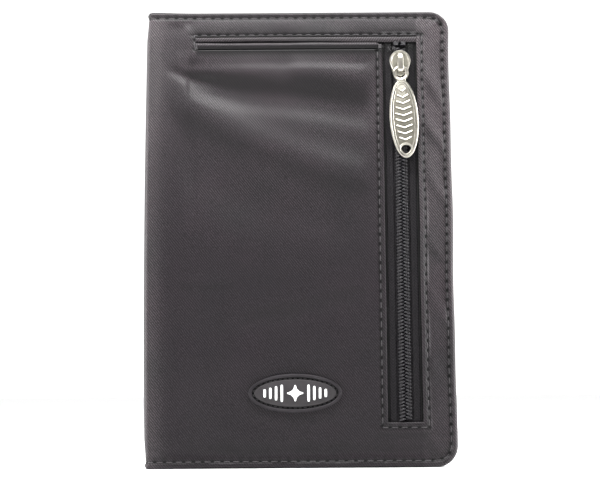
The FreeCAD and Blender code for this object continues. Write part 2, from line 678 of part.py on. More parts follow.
def make_pull():
    """The pull's own origin is the middle of its eye bar, and its plate hangs towards -Z."""
    body = new_body("zip_pull")
    half_plate = cell("pull_plate") / 2
    front = -half_plate
    ring_z = -cell("ring_drop")
    plate_z = -cell("pull_drop") - cell("pull_length") / 2
    hole_z = -cell("charm_drop")

    sketch = new_sketch(body, "pull_ring_outline", offset=front)
    circle_outline(sketch, ZERO, ring_z, cell("ring_outer"), "outer")
    circle_outline(sketch, ZERO, ring_z, cell("ring_inner"), "inner")
    pad(body, sketch, cell("pull_plate"))
    sketch = new_sketch(body, "pull_oval_outline", offset=front)
    oval_outline(sketch, ZERO, plate_z, cell("pull_width"), cell("pull_length"))
    pad(body, sketch, cell("pull_plate"))
    sketch = new_sketch(body, "pull_neck_outline", offset=front)
    half_neck = cell("pull_neck") / 2
    ring_bottom = ring_z - cell("ring_outer") / 2
    square_outline(sketch, rectangle(-half_neck, half_neck, ring_bottom - 1, ring_bottom + 0.5))
    pad(body, sketch, cell("pull_plate"))

    sketch = new_sketch(body, "pull_eye_gap_outline", offset=front)
    half_gap = cell("ring_inner") / 2
    half_bar = cell("eye_bar") / 2
    square_outline(sketch, rectangle(-half_gap, half_gap, -half_bar, cell("eye_bar")))
    pocket(body, sketch, cell("pull_plate"))
    sketch = new_sketch(body, "pull_eye_bar_outline", "YZ_Plane")
    circle_outline(sketch, ZERO, ZERO, cell("eye_bar"))
    pad(body, sketch, cell("ring_inner") + half_bar, midplane=True)

    sketch = new_sketch(body, "pull_field_outline", offset=front)
    rim = cell("pull_rim") * 2
    field_length = cell("pull_length") - rim - cell("charm_hole")
    field_z = -cell("pull_drop") - cell("pull_rim") - field_length / 2
    oval_outline(sketch, ZERO, field_z, cell("pull_width") - rim, field_length)
    pocket(body, sketch, cell("pull_recess"))
    sketch = new_sketch(body, "pull_hole_rim_outline", offset=front)
    circle_outline(sketch, ZERO, hole_z, cell("charm_hole") + cell("charm_rim") * 2)
    pad(body, sketch, cell("pull_plate"))
    sketch = new_sketch(body, "pull_hole_outline", offset=front)
    circle_outline(sketch, ZERO, hole_z, cell("charm_hole"))
    pocket(body, sketch, cell("pull_plate"))

    place(body, cell("zip_centre"), FRONT_FACE - cell("eye_depth"),
          cell("slider_crown") - cell("eye_drop"))
    body.Placement = FreeCAD.Placement(body.Placement.Base,
                                       FreeCAD.Rotation(Vector(0, 1, 0), -cell("pull_tilt").value))
    body.setExpression("Placement.Rotation.Angle", "-dims.pull_tilt * 1 deg")


# ---------------------------------------------------------------- build, check and write

make_back_cover()
make_spine()
make_front_panel()
make_slip_pocket()
make_zip()
make_front_inside()
make_badge()
make_slider()
make_pull()
doc.recompute()

for item in doc.Objects:
    if "Invalid" in item.State or "Error" in item.State:
        raise RuntimeError(f"{item.Label} did not build: {item.State}")

os.makedirs("parts", exist_ok=True)
for body in doc.findObjects("PartDesign::Body"):
    shape = body.Shape
    if shape.isNull() or not shape.isValid() or not shape.Solids:
        raise RuntimeError(f"{body.Label} has no valid solid")
    shape.exportStep(f"parts/{body.Label}.step")
    box = shape.BoundBox
    print(f"{body.Label:24s} solids {len(shape.Solids)} volume {shape.Volume:9.2f} "
          f"x {box.XMin:7.2f} {box.XMax:7.2f} y {box.YMin:6.2f} {box.YMax:6.2f} "
          f"z {box.ZMin:7.2f} {box.ZMax:7.2f}")
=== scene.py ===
import json
import math
from functools import partial

import bmesh
import bpy
import numpy as np
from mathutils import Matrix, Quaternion, Vector
from mathutils.kdtree import KDTree


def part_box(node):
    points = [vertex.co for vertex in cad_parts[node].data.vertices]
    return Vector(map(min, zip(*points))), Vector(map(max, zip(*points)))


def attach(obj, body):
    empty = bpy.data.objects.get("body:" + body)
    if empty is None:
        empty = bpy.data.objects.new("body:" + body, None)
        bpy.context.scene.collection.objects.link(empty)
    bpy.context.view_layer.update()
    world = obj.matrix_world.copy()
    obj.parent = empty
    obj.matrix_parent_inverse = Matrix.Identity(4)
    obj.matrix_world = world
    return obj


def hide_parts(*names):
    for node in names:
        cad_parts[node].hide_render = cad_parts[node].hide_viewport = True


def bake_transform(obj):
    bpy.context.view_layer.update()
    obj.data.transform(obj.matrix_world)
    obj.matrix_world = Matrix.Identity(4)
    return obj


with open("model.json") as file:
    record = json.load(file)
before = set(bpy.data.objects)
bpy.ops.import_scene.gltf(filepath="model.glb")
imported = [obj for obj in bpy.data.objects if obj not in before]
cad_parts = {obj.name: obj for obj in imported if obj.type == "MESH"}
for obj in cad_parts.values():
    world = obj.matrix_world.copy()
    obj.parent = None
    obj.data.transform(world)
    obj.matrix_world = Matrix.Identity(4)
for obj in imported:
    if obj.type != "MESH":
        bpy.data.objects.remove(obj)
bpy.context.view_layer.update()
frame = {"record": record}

# A passport holder wallet in dark grey nylon twill, standing closed on its lower edge.
# Lengths are in millimetres until a mesh is made. +X is the free edge, -Y the front, +Z up.
MM = 0.001


# ---------------------------------------------------------------- places, all from the frame

def box_mm(node):
    """The lowest and highest corners of a CAD node's box."""
    low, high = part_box(node)
    return np.array(low) / MM, np.array(high) / MM


def sides_of(node):
    """A CAD node's left, right, lower and upper sides."""
    low, high = box_mm(node)
    return low[0], high[0], low[2], high[2]


FRONT_LOW, FRONT_HIGH = box_mm("front_outer_panel")
FOLD_X, FREE_X = box_mm("spine_outer_panel")[0][0], FRONT_HIGH[0]
HEIGHT = FRONT_HIGH[2]
FRONT_Y, BACK_Y = FRONT_LOW[1], box_mm("back_outer_panel")[1][1]
MID_Y = (FRONT_Y + BACK_Y) / 2
HALF_THICK = (BACK_Y - FRONT_Y) / 2
FOLD_RADIUS = FRONT_LOW[0] - FOLD_X
CORNER_RADIUS = 6.8

# Seams and cloth, as they are sewn.
SEAM_INSET = 2.2
SLOT_SEAM_GAP, SLOT_SEAM_RISE, ZIP_SEAM_GAP = 0.5, 0.7, 1.75
STITCH_PITCH = 3.1
STITCH_LENGTH = 2.2
THREAD_RADIUS = 0.15
HEM_WIDTH = 3.0
LINING_THICKNESS, POCKET_THICKNESS, BAG_THICKNESS, FILM_THICKNESS = 0.3, 0.17, 0.15, 0.06
WARP_PITCH, WEFT_PITCH = 0.283, 0.358
FRONT, BACK = -1, 1
WORD = {FRONT: "front", BACK: "back"}
COVER = {FRONT: "front_cover", BACK: "back_cover"}
EDGE_DROP = {FRONT: 0.9, BACK: 0.6}

LIP_LOW, LIP_HIGH = box_mm("slot_lower_lip")
WELT_LOW, WELT_HIGH = box_mm("slot_upper_welt")
BADGE_LOW, BADGE_HIGH = box_mm("badge_body")
WINDOW_LEFT, WINDOW_RIGHT = LIP_HIGH[0], WELT_HIGH[0]
WINDOW_BOTTOM = box_mm("zip_coil_left")[0][2] - 0.3
SLOT_LEFT = WELT_LOW[0]
OPENING_TOP = WELT_HIGH[2]
ZIP_X = (WINDOW_LEFT + WINDOW_RIGHT) / 2
PULL_JOINT = next(joint for joint in frame["record"]["behaviour"]["joints"]
                  if joint["name"] == "pull_swing")


def smooth(t):
    """A soft step: 0 up to t = 0, 1 from t = 1."""
    t = np.clip(t, 0, 1)
    return t * t * (3 - 2 * t)


def bump(distance, width):
    """A bell: 1 at no distance, about a third at the width."""
    return np.exp(-(distance / width) ** 2)


# ---------------------------------------------------------------- shader helpers

class Amount:
    """A shader value that takes part in arithmetic through Math nodes."""

    def __init__(self, shader, socket):
        self.shader, self.socket = shader, socket

    def math(self, operation, *others):
        made = self.shader.node("ShaderNodeMath", operation=operation)
        for socket, source in zip(made.inputs, (self, *others)):
            self.shader.feed(socket, source)
        return Amount(self.shader, made.outputs[0])

    def __add__(self, other):
        return self.math("ADD", other)

    def __mul__(self, other):
        return self.math("MULTIPLY", other)

    def __truediv__(self, other):
        return self.math("DIVIDE", other)

    def humps(self):
        """One rounded hump from 0 to 1 and back for each whole step of the value."""
        return (self.math("FRACT") * math.pi).math("SINE")


class Shader:
    """A material with one Principled node, and short calls for the nodes that feed it."""

    def __init__(self, name, **settings):
        self.material = bpy.data.materials.new(name)
        self.material.use_nodes = True
        self.nodes = self.material.node_tree.nodes
        self.links = self.material.node_tree.links
        self.out = self.nodes["Principled BSDF"]
        for socket, amount in settings.items():
            self.out.inputs[socket.replace("_", " ")].default_value = amount

    def set(self, socket, source):
        self.feed(self.out.inputs[socket], source)

    def node(self, kind, **attributes):
        made = self.nodes.new(kind)
        for key, amount in attributes.items():
            setattr(made, key, amount)
        return made

    def feed(self, socket, source):
        """Gives a socket a number, a colour, or the value of another node."""
        if isinstance(source, Amount):
            self.links.new(source.socket, socket)
        elif isinstance(source, tuple) and len(source) == 3:
            socket.default_value = (*source, 1.0)
        else:
            socket.default_value = source

    def uv(self):
        """The cloth's own coordinates in millimetres: across and up."""
        source = self.node("ShaderNodeUVMap", uv_map="cloth")
        split = self.node("ShaderNodeSeparateXYZ")
        self.links.new(source.outputs[0], split.inputs[0])
        return [Amount(self, split.outputs[axis]) * (1 / MM) for axis in (0, 1)]

    def noise(self, size, detail=3.0, roughness=0.5, stretch=(1, 1, 1)):
        """Noise from 0 to 1 whose blotches are about size millimetres wide."""
        mapping = self.node("ShaderNodeMapping")
        mapping.inputs["Scale"].default_value = stretch
        place = self.node("ShaderNodeTexCoord").outputs["Object"]
        self.links.new(place, mapping.inputs["Vector"])
        made = self.node("ShaderNodeTexNoise")
        made.inputs["Scale"].default_value = 1 / (size * MM)
        made.inputs["Detail"].default_value = detail
        made.inputs["Roughness"].default_value = roughness
        self.links.new(mapping.outputs[0], made.inputs["Vector"])
        return Amount(self, made.outputs["Fac"])

    def mark(self, name):
        """A value painted on the mesh's points."""
        return Amount(self, self.node("ShaderNodeAttribute", attribute_name=name).outputs["Fac"])

    def range(self, source, **limits):
        """The source moved from one range to another: from_min, from_max, to_min and to_max."""
        scaled = self.node("ShaderNodeMapRange")
        for name, limit in limits.items():
            scaled.inputs[name.replace("_", " ").title()].default_value = limit
        self.feed(scaled.inputs["Value"], source)
        return Amount(self, scaled.outputs[0])

    def mix(self, factor, first, second, **attributes):
        made = self.node("ShaderNodeMix", data_type="RGBA", **attributes)
        for number, source in ((0, factor), (6, first), (7, second)):
            self.feed(made.inputs[number], source)
        return Amount(self, made.outputs[2])

    def ramp(self, source, low, high, low_at=0.0, high_at=1.0):
        """Mixes two colours by source, from low_at to high_at."""
        return self.mix(self.range(source, from_min=low_at, from_max=high_at), low, high)

    def tint(self, colour, source, low, high, low_at=0.0, high_at=1.0):
        """Multiplies a colour by a ramp of two others."""
        return self.mix(1.0, colour, self.ramp(source, low, high, low_at, high_at),
                        blend_type="MULTIPLY")

    def relief(self, height, depth, strength=1.0, under=None):
        """Bump from a height of 0 to 1 that stands for depth millimetres."""
        made = self.node("ShaderNodeBump")
        made.inputs["Distance"].default_value = depth * MM
        made.inputs["Strength"].default_value = strength
        self.feed(made.inputs["Height"], height)
        if under:
            self.feed(made.inputs["Normal"], under)
        return Amount(self, made.outputs[0])

    def finish(self, colour, rough_source, smoothest, roughest, normal):
        """Joins the colour, a roughness range and the relief, and gives the material."""
        self.set("Base Color", colour)
        self.set("Roughness", self.range(rough_source, to_min=smoothest, to_max=roughest))
        self.set("Normal", normal)
        return self.material


def woven_height(shader, across_pitch, up_pitch, over, cycle):
    """Height of a woven cloth: each upright yarn floats over `over` of every `cycle` rows."""
    across, up = shader.uv()
    column = across / across_pitch
    float_share = over / cycle
    along = (up / (up_pitch * cycle) + column.math("FLOOR") / cycle).math("FRACT")
    floating = (along / float_share * math.pi).math("SINE") * along.math("LESS_THAN", float_share)
    weft = (up / up_pitch).humps()
    return (floating * column.humps()).math("MAXIMUM", weft * 0.45)


# ---------------------------------------------------------------- materials

def grey(amount):
    """A colour without hue."""
    return (amount, amount, amount)


PLAIN = grey(1)


def make_twill():
    """Satin-faced 2/1 twill: its ribs run down to the right, and each yarn shows a little. Painted
    shade and painted highlights from the mesh's marks are multiplied into its colour.
    """
    shader = Shader("shell_twill", Roughness=0.5, Specular_IOR_Level=0.22, Sheen_Weight=0.02,
                    Sheen_Roughness=0.35)
    across, up = shader.uv()
    phase = across / (3 * WARP_PITCH) + up / (3 * WEFT_PITCH) + shader.noise(1.3, 2.0) * 0.5
    rib = (phase * (2 * math.pi)).math("SINE").math("MULTIPLY_ADD", 0.5, 0.5)
    height = rib * 0.68 + woven_height(shader, WARP_PITCH, WEFT_PITCH, over=2, cycle=3) * 0.32
    colour = shader.ramp(height, (0.0015, 0.0012, 0.0014), (0.0262, 0.0213, 0.0248), 0.15, 0.95)
    fleck = shader.noise(0.33, 2.0, 0.7)
    colour = shader.tint(colour, fleck, (0.40, 0.39, 0.40), (1.75, 1.74, 1.77), 0.3, 0.7)
    blotch = shader.noise(22, 2.0)
    colour = shader.tint(colour, blotch, (0.88, 0.92, 0.91), (1.12, 1.06, 1.09), 0.3, 0.7)
    # Painted shade: darker needle holes and seam lines, and a painted shadow under the slot's lip.
    colour = shader.tint(colour, shader.mark("needle"), PLAIN, grey(0.04))
    # Painted highlight: lighter fold, free edge, free strip and top, and a lighter welt front and lip
    # edge.
    colour = shader.tint(colour, shader.mark("painted_highlight"), PLAIN, (3.6, 3.92, 3.52))
    # Painted shade where the cloth leans down from the light above, under the lip and above the slot's
    # seam.
    colour = shader.tint(colour, shader.mark("lean"), PLAIN, (0.30, 0.29, 0.30))
    normal = shader.relief(blotch, 0.5, 0.25, shader.relief(height, 0.05, 0.8))
    return shader.finish(colour, shader.noise(0.5, 2.0), 0.40, 0.54, normal)


def make_plain_cloth(name, dark, light, pitch):
    """Plain weave."""
    shader = Shader(name, Roughness=0.55, Specular_IOR_Level=0.22, Sheen_Weight=0.03)
    height = woven_height(shader, pitch, pitch, over=1, cycle=2)
    colour = shader.tint(shader.ramp(height, dark, light), shader.noise(18, 2.0),
                         (0.92, 0.92, 0.94), (1.08, 1.06, 1.06), 0.3, 0.7)
    return shader.finish(colour, shader.noise(0.6, 2.0), 0.48, 0.62, shader.relief(height, 0.05, 0.7))


def make_tape_weave():
    """Herringbone: the twill turns back about every millimetre."""
    shader = Shader("zip_tape_weave", Roughness=0.6, Specular_IOR_Level=0.2)
    across, up = shader.uv()
    rib_pitch, turn_back, lean, yarn = 0.98, 1.05, 0.9, 0.35
    rib = (up / rib_pitch + across.math("PINGPONG", turn_back) / lean).humps()
    height = rib * ((across / yarn).humps() * 0.5 + 0.5)
    speck = shader.noise(0.35, 2.0)
    colour = shader.ramp(height, (0.0008, 0.0006, 0.0009), (0.0125, 0.0106, 0.0130), 0.10, 1.0)
    colour = shader.tint(colour, speck, grey(0.7), grey(1.4), 0.35, 0.7)
    colour = shader.tint(colour, shader.mark("shade"), PLAIN, grey(0.10))
    return shader.finish(colour, speck, 0.5, 0.7, shader.relief(height, 0.12, 0.9))


def make_coil_nylon():
    """Satin black nylon wire."""
    shader = Shader("zip_coil_nylon", Roughness=0.36, Specular_IOR_Level=0.40)
    haze = shader.noise(0.8, 3.0)
    colour = shader.ramp(haze, (0.007, 0.0062, 0.0078), (0.016, 0.0142, 0.0175))
    return shader.finish(colour, haze, 0.3, 0.48, shader.relief(shader.noise(0.15, 2.0), 0.02, 0.5))


def make_thread(name, dark, light):
    """Twisted thread: two plies wind round each other along the stitch."""
    shader = Shader(name, Roughness=0.5, Specular_IOR_Level=0.35, Sheen_Weight=0.05)
    around, along = shader.uv()
    ply_length, ply_width = 0.42, 0.6
    height = (along / ply_length + around / ply_width).humps()
    return shader.finish(shader.ramp(height, dark, light), shader.noise(0.3), 0.42, 0.6,
                         shader.relief(height, 0.06, 0.8))


def make_nickel():
    """Nickel plate, brushed a little, with painted shade in its recesses, which are also rougher."""
    shader = Shader("pull_nickel", Metallic=1.0)
    recess = shader.mark("recess")
    colour = shader.ramp(shader.noise(1.6, 3.0), (0.39, 0.372, 0.326), (0.53, 0.506, 0.45), 0.3, 0.7)
    # Painted shade: the recesses are darkened.
    shader.set("Base Color", shader.tint(colour, recess, PLAIN, (0.50, 0.50, 0.47)))
    brushed = shader.range(shader.noise(0.5, 4.0, 0.6, stretch=(1, 1, 6)), to_min=0.26, to_max=0.40)
    shader.set("Roughness", recess.math("MULTIPLY_ADD", 0.16, brushed))
    shader.set("Normal", shader.relief(shader.noise(0.9, 2.0), 0.03, 0.5))
    return shader.material


def make_badge_rubber(name, dark, light):
    """Moulded rubber with a fine grain, and painted shade in the groove."""
    shader = Shader(name, Roughness=0.55, Specular_IOR_Level=0.16)
    grain = shader.noise(0.28, 3.0, 0.6)
    colour = shader.ramp(shader.noise(5, 2.0), dark, light, 0.3, 0.7)
    colour = shader.tint(colour, grain, grey(0.88), grey(1.12), 0.3, 0.7)
    # Painted shade in the groove and on the rim's sides.
    colour = shader.tint(colour, shader.mark("recess"), PLAIN, grey(0.12))
    return shader.finish(colour, grain, 0.45, 0.65, shader.relief(grain, 0.04, 0.6))


def make_window_film():
    """Clear flexible film with a faint haze."""
    shader = Shader("window_clear_film", Roughness=0.12, Alpha=0.14, IOR=1.45)
    haze = shader.noise(9, 3.0)
    colour = shader.ramp(haze, (0.34, 0.37, 0.38), (0.48, 0.51, 0.52))
    return shader.finish(colour, haze, 0.18, 0.30, shader.relief(shader.noise(14, 1.0), 0.15, 0.25))


def make_stage_white():
    """The floor's satin white."""
    shader = Shader("stage_white", Roughness=0.35, Specular_IOR_Level=0.35)
    shader.set("Base Color", shader.ramp(shader.noise(60), grey(0.93), grey(0.95)))
    return shader.material


TWILL = make_twill()
LINING = make_plain_cloth("lining_weave", (0.014, 0.012, 0.014), (0.040, 0.036, 0.041), 0.22)
POCKET = make_plain_cloth("pocket_weave", (0.020, 0.018, 0.021), (0.056, 0.051, 0.057), 0.25)
TAPE = make_tape_weave()
COIL = make_coil_nylon()
THREAD = make_thread("seam_thread", (0.010, 0.0092, 0.010), (0.078, 0.073, 0.077))
COIL_THREAD = make_thread("coil_thread", (0.005, 0.0045, 0.005), (0.022, 0.020, 0.022))
NICKEL = make_nickel()
RUBBER = make_badge_rubber("badge_rim_rubber", (0.016, 0.0138, 0.016), (0.026, 0.0232, 0.026))
FIELD = make_badge_rubber("badge_field_rubber", (0.030, 0.0275, 0.029), (0.040, 0.037, 0.039))
WHITE = make_badge_rubber("emblem_white_print", (0.80, 0.80, 0.80), (0.88, 0.88, 0.88))
FILM = make_window_film()


# ---------------------------------------------------------------- meshes

def make_object(name, points, faces, uv, material, sharp=50.0, marks=None, solid=False):
    """A smooth-shaded mesh from points in mm, faces, and each point's cloth coordinates in mm.
    A solid's faces are turned outwards."""
    mesh = bpy.data.meshes.new(name)
    faces = faces.tolist() if isinstance(faces, np.ndarray) else faces
    mesh.from_pydata((np.asarray(points) * MM).tolist(), [], faces)
    loops = np.empty(len(mesh.loops), np.int32)
    mesh.loops.foreach_get("vertex_index", loops)
    layer = mesh.uv_layers.new(name="cloth")
    layer.data.foreach_set("uv", (np.asarray(uv)[loops] * MM).astype(np.float32).ravel())
    for mark, amounts in (marks or {}).items():
        attribute = mesh.attributes.new(mark, "FLOAT", "POINT")
        attribute.data.foreach_set("value", np.asarray(amounts, np.float32))
    mesh.materials.append(material)
    if solid:
        work = bmesh.new()
        work.from_mesh(mesh)
        bmesh.ops.recalc_face_normals(work, faces=work.faces)
        work.to_mesh(mesh)
        work.free()
    mesh.polygons.foreach_set("use_smooth", [True] * len(mesh.polygons))
    mesh.set_sharp_from_angle(angle=math.radians(sharp))
    mesh.validate()
    made = bpy.data.objects.new(name, mesh)
    bpy.context.scene.collection.objects.link(made)
    return made


def dress(piece, slot, body, *nodes):
    """Hides the CAD nodes that a piece replaces and hangs it on the body it rides on. The material slot
    is not used.
    """
    if nodes:
        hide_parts(*nodes)
    if body:
        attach(piece, body)


class Pile:
    """Collects the points, faces and cloth coordinates of many small shapes as one mesh."""

    def __init__(self):
        self.points, self.faces, self.uv = [], [], []
        self.count = 0

    def add(self, points, faces, uv):
        self.points.append(np.asarray(points, float))
        self.uv.append(np.asarray(uv, float))
        self.faces.extend([tuple(int(i) + self.count for i in face) for face in faces])
        self.count += len(points)

    def build(self, name, material, sharp=50.0, marks=None):
        points = np.vstack(self.points)
        found = {key: made(points) for key, made in (marks or {}).items()}
        return make_object(name, points, self.faces, np.vstack(self.uv), material, sharp, found,
                           solid=True)


def declare_sheet(flat, share=1.0):
    """Works out, and drops, the area of a cloth piece cut to flat = (width, length) mm, of which that
    share is left.
    """
    width, length = flat[0] * MM, flat[1] * MM
    share * width * length


def graded(low, high, coarse, fine, zones):
    """Grid lines from low to high: fine inside the zones, coarse elsewhere."""
    stops = {low, high}
    for begin, end in zones:
        stops.update(min(max(each, low), high) for each in (begin, end))
    stops = sorted(stops)
    lines = [low]
    for begin, end in zip(stops, stops[1:]):
        middle = (begin + end) / 2
        inside = any(first <= middle <= last for first, last in zones)
        count = max(1, math.ceil((end - begin) / (fine if inside else coarse) - 1e-6))
        lines.extend(begin + (end - begin) * np.arange(1, count + 1) / count)
    return np.array(lines)


def tube_faces(rings, sides, closed_ends=True):
    """Quads of a tube whose points are rings of `sides` points, with a cap at each end."""
    ring = np.arange(rings - 1)[:, None] * sides
    side = np.arange(sides)[None, :]
    after = (side + 1) % sides
    quads = np.stack([ring + side, ring + after, ring + sides + after, ring + sides + side], -1)
    faces = [tuple(face) for face in quads.reshape(-1, 4)]
    if closed_ends:
        faces.append(tuple(range(sides))[::-1])
        last = (rings - 1) * sides
        faces.append(tuple(range(last, last + sides)))
    return faces


def tube(path, radius, sides=6, closed=False):
    """A round tube along a path of points, with cloth coordinates around and along it."""
    path = np.asarray(path, float)
    if closed:
        path = np.vstack([path, path[:1]])
    way = np.gradient(path, axis=0)
    if closed:
        way[0] = way[-1] = path[1] - path[-2]
    way /= np.linalg.norm(way, axis=1)[:, None]
    across = np.cross(way, [0.0, 1.0, 0.0])
    across /= np.linalg.norm(across, axis=1)[:, None] + 1e-9
    up = np.cross(across, way)
    angle = 2 * math.pi * np.arange(sides) / sides
    ring = across[:, None] * np.cos(angle)[None, :, None] + up[:, None] * np.sin(angle)[None, :, None]
    points = (path[:, None] + ring * radius).reshape(-1, 3)
    run = np.concatenate([[0], np.cumsum(np.linalg.norm(np.diff(path, axis=0), axis=1))])
    around = np.tile(radius * angle, len(path))
    uv = np.stack([around, np.repeat(run, sides)], 1)
    return points, tube_faces(len(path), sides, not closed), uv


# ---------------------------------------------------------------- cloth that turns round the fold

def outline_bow(s, z):
    """Cloth that was sewn by hand isn't quite straight: the fold bows out, the free edge wavers."""
    fold = 0.30 - 0.62 * np.sin(math.pi * np.clip(z / HEIGHT, 0, 1))
    free = 0.14 * np.sin(z / 12.0 + 0.5) + 0.10 * np.sin(z / 5.7)
    share = smooth(s / 70)
    return fold * (1 - share) + free * smooth((s - 88) / 14)


class Fold:
    """Maps cloth onto the closed cover. s runs from the middle of the spine to the free edge,
    depth goes into the wallet from the cloth's own face."""

    def __init__(self, side, spine_x, half, radius):
        self.side, self.spine_x, self.half, self.radius = side, spine_x, half, radius
        self.straight = half - radius
        self.turn = radius * math.pi / 2
        self.corner_x = spine_x + radius

    def s_of_x(self, x):
        """The cloth's place s beyond the fold, from x."""
        return x - self.corner_x + self.straight + self.turn

    def lie(self, s, z, depth):
        """The points (x, y, z) of places on the cloth at some depth."""
        angle = np.clip((s - self.straight) / self.radius, 0, math.pi / 2)
        reach = self.radius - depth
        x = self.corner_x - reach * np.cos(angle) + np.maximum(s - self.straight - self.turn, 0)
        x = x + outline_bow(s, z)
        y = MID_Y + self.side * (np.minimum(s, self.straight) + reach * np.sin(angle))
        return np.stack(np.broadcast_arrays(x, y, z), -1)


SHELL_FOLD = {side: Fold(side, FOLD_X, HALF_THICK, FOLD_RADIUS) for side in (FRONT, BACK)}


def s_at(x):
    """The place on the cloth, beyond the fold, at that x."""
    return SHELL_FOLD[FRONT].s_of_x(x)


S_FREE = s_at(FREE_X)
S_WINDOW_LEFT, S_WINDOW_RIGHT = s_at(WINDOW_LEFT), s_at(WINDOW_RIGHT)
S_SLOT_LEFT = s_at(SLOT_LEFT)
S_PANEL = s_at(FRONT_LOW[0])


def edge_distance(s, z):
    """Distance to the free, upper or lower edge of a cover, with its round corners."""
    from_free = S_FREE - s
    from_end = np.minimum(z, HEIGHT - z)
    plain = np.minimum(from_free, from_end)
    inner = np.hypot(np.maximum(CORNER_RADIUS - from_free, 0), np.maximum(CORNER_RADIUS - from_end, 0))
    in_corner = (from_free < CORNER_RADIUS) & (from_end < CORNER_RADIUS)
    return np.where(in_corner, CORNER_RADIUS - inner, plain)


def rectangle_distance(s, z, left, right, bottom, top):
    """Distance to a rectangle, measured along s or z: positive outside it."""
    return np.maximum(np.maximum(left - s, s - right), np.maximum(bottom - z, z - top))


def window_distance(s, z):
    """Distance to the zip's window."""
    return rectangle_distance(s, z, S_WINDOW_LEFT, S_WINDOW_RIGHT, WINDOW_BOTTOM, OPENING_TOP)


def slot_distance(s, z):
    """Distance to the slip pocket's slot."""
    return rectangle_distance(s, z, S_SLOT_LEFT, S_WINDOW_LEFT, LIP_LOW[2], OPENING_TOP)


def stitched_relief(distance, inset):
    """Depth beside a seam: a groove on the stitch line, and puffed cloth between it and the edge."""
    groove = 0.20 * bump(distance - inset, 0.45)
    puff = -0.16 * np.sin(np.clip(distance / inset, 0, 1) * math.pi) ** 2
    return groove + puff


# ---------------------------------------------------------------- seams of the covers

def corner_points(s, z, radius, start, steps=8):
    """A quarter turn, from the start angle in degrees, clockwise."""
    angles = np.radians(start - np.linspace(0, 90, steps))
    return [(s + radius * math.cos(a), z + radius * math.sin(a)) for a in angles]


def edge_route():
    """Round a cover's three free edges."""
    radius = CORNER_RADIUS - SEAM_INSET
    s_arc = S_FREE - CORNER_RADIUS
    top = corner_points(s_arc, HEIGHT - CORNER_RADIUS, radius, 90)
    bottom = corner_points(s_arc, CORNER_RADIUS, radius, 0)
    return [(0.4, HEIGHT - SEAM_INSET), *top, *bottom, (0.4, SEAM_INSET)]


def slot_route():
    """Up the slot's closed end and along its top."""
    end, over = S_SLOT_LEFT - SLOT_SEAM_GAP, OPENING_TOP + SLOT_SEAM_RISE
    return [(end, LIP_LOW[2] + 0.2), (end, over), (S_WINDOW_RIGHT + 0.6, over)]


def zip_route():
    """Down one side of the zip, across its lower end and up the other side."""
    left, right = S_WINDOW_LEFT - ZIP_SEAM_GAP, S_WINDOW_RIGHT + ZIP_SEAM_GAP
    under = WINDOW_BOTTOM - ZIP_SEAM_GAP
    return [(left, LIP_LOW[2] - 0.6), (left, under), (right, under), (right, OPENING_TOP + 0.6)]


def along_route(route, places):
    """Points at those distances along a route of (s, z) points."""
    route = np.array(route, float)
    run = np.concatenate([[0], np.cumsum(np.linalg.norm(np.diff(route, axis=0), axis=1))])
    at = places(run[-1])
    return np.stack([np.interp(at, run, route[:, 0]), np.interp(at, run, route[:, 1])], 1)


def stitch_count(length, pitch):
    """How many whole stitches a seam takes."""
    return max(1, int(length / pitch))


def hole_tree(routes):
    """A search tree of the needle holes: one between each two stitches."""
    holes = np.vstack([along_route(route, lambda length: np.linspace(
        0, length, stitch_count(length, STITCH_PITCH) + 1)) for route in routes])
    tree = KDTree(len(holes))
    for number, (s, z) in enumerate(holes):
        tree.insert((s, z, 0), number)
    tree.balance()
    return tree


NEEDLE_HOLES = {FRONT: hole_tree([edge_route(), slot_route(), zip_route()]),
                BACK: hole_tree([edge_route()])}


def hole_distance(side, s, z):
    """Distance to the nearest needle hole of a cover."""
    s, z = np.broadcast_arrays(s, z)
    find = NEEDLE_HOLES[side].find
    return np.array([find((a, b, 0))[2] for a, b in zip(s.ravel(), z.ravel())]).reshape(s.shape)


def badge_distance(x, z):
    """Distance outside the oval badge."""
    middle = (BADGE_LOW + BADGE_HIGH) / 2
    half = (BADGE_HIGH - BADGE_LOW) / 2
    reach = np.hypot((x - middle[0]) / half[0], (z - middle[2]) / half[2])
    return (reach - 1) * half[2]


# Soft folds of the front: the (x, z) points each runs through, its half width and its height,
# which is negative for a valley.
CREASES = (
    (((-33, 133), (-5, 131.5), (14, 129.5), (28, 127.5)), 4.4, 0.75),
    (((-2, 133.5), (14, 132), (28, 130)), 4.6, 0.95),
    (((-46, 133), (-41, 131), (-37, 129), (-28, 127)), 1.8, -0.85),
    (((-37, 137), (-41, 128)), 1.6, 0.5),
    (((-36, 126), (-16, 122.5), (6, 120), (28, 116.0)), 4.2, -1.45),
    (((-46, 127), (-40, 123.5), (-22, 111.5), (5, 100), (26, 95)), 5.4, 1.30),
    (((-45, 118), (-38, 108), (-34, 96)), 3.4, -0.55),
    (((-44, 103), (-12, 86), (20, 79)), 7.0, -0.55),
    (((-42, 79), (-10, 71), (18, 66)), 9.0, 0.50),
    (((-40, 62), (-31, 60.5), (-21, 61)), 2.6, 0.40),
    (((-20, 52), (2, 56), (26, 62.5)), 4.8, 0.60),
    (((-44, 46), (-20, 42), (6, 47)), 6.0, -0.35),
    (((-36, 34), (14, 40)), 9.0, 0.40),
    (((42.5, 131), (50.5, 117)), 2.2, 0.90),
    (((42.5, 113), (50.5, 103)), 2.0, 0.90),
    (((42.5, 97), (50.5, 86)), 2.4, 0.80),
    (((42.5, 74), (50.5, 66)), 2.4, 0.70),
    (((42.5, 56), (50.5, 46)), 2.6, 0.60),
    (((42.5, 33), (50.5, 26)), 2.4, 0.50),
)
DEEPEST_FOLD, HIGHEST_FOLD = 1.30, 2.2


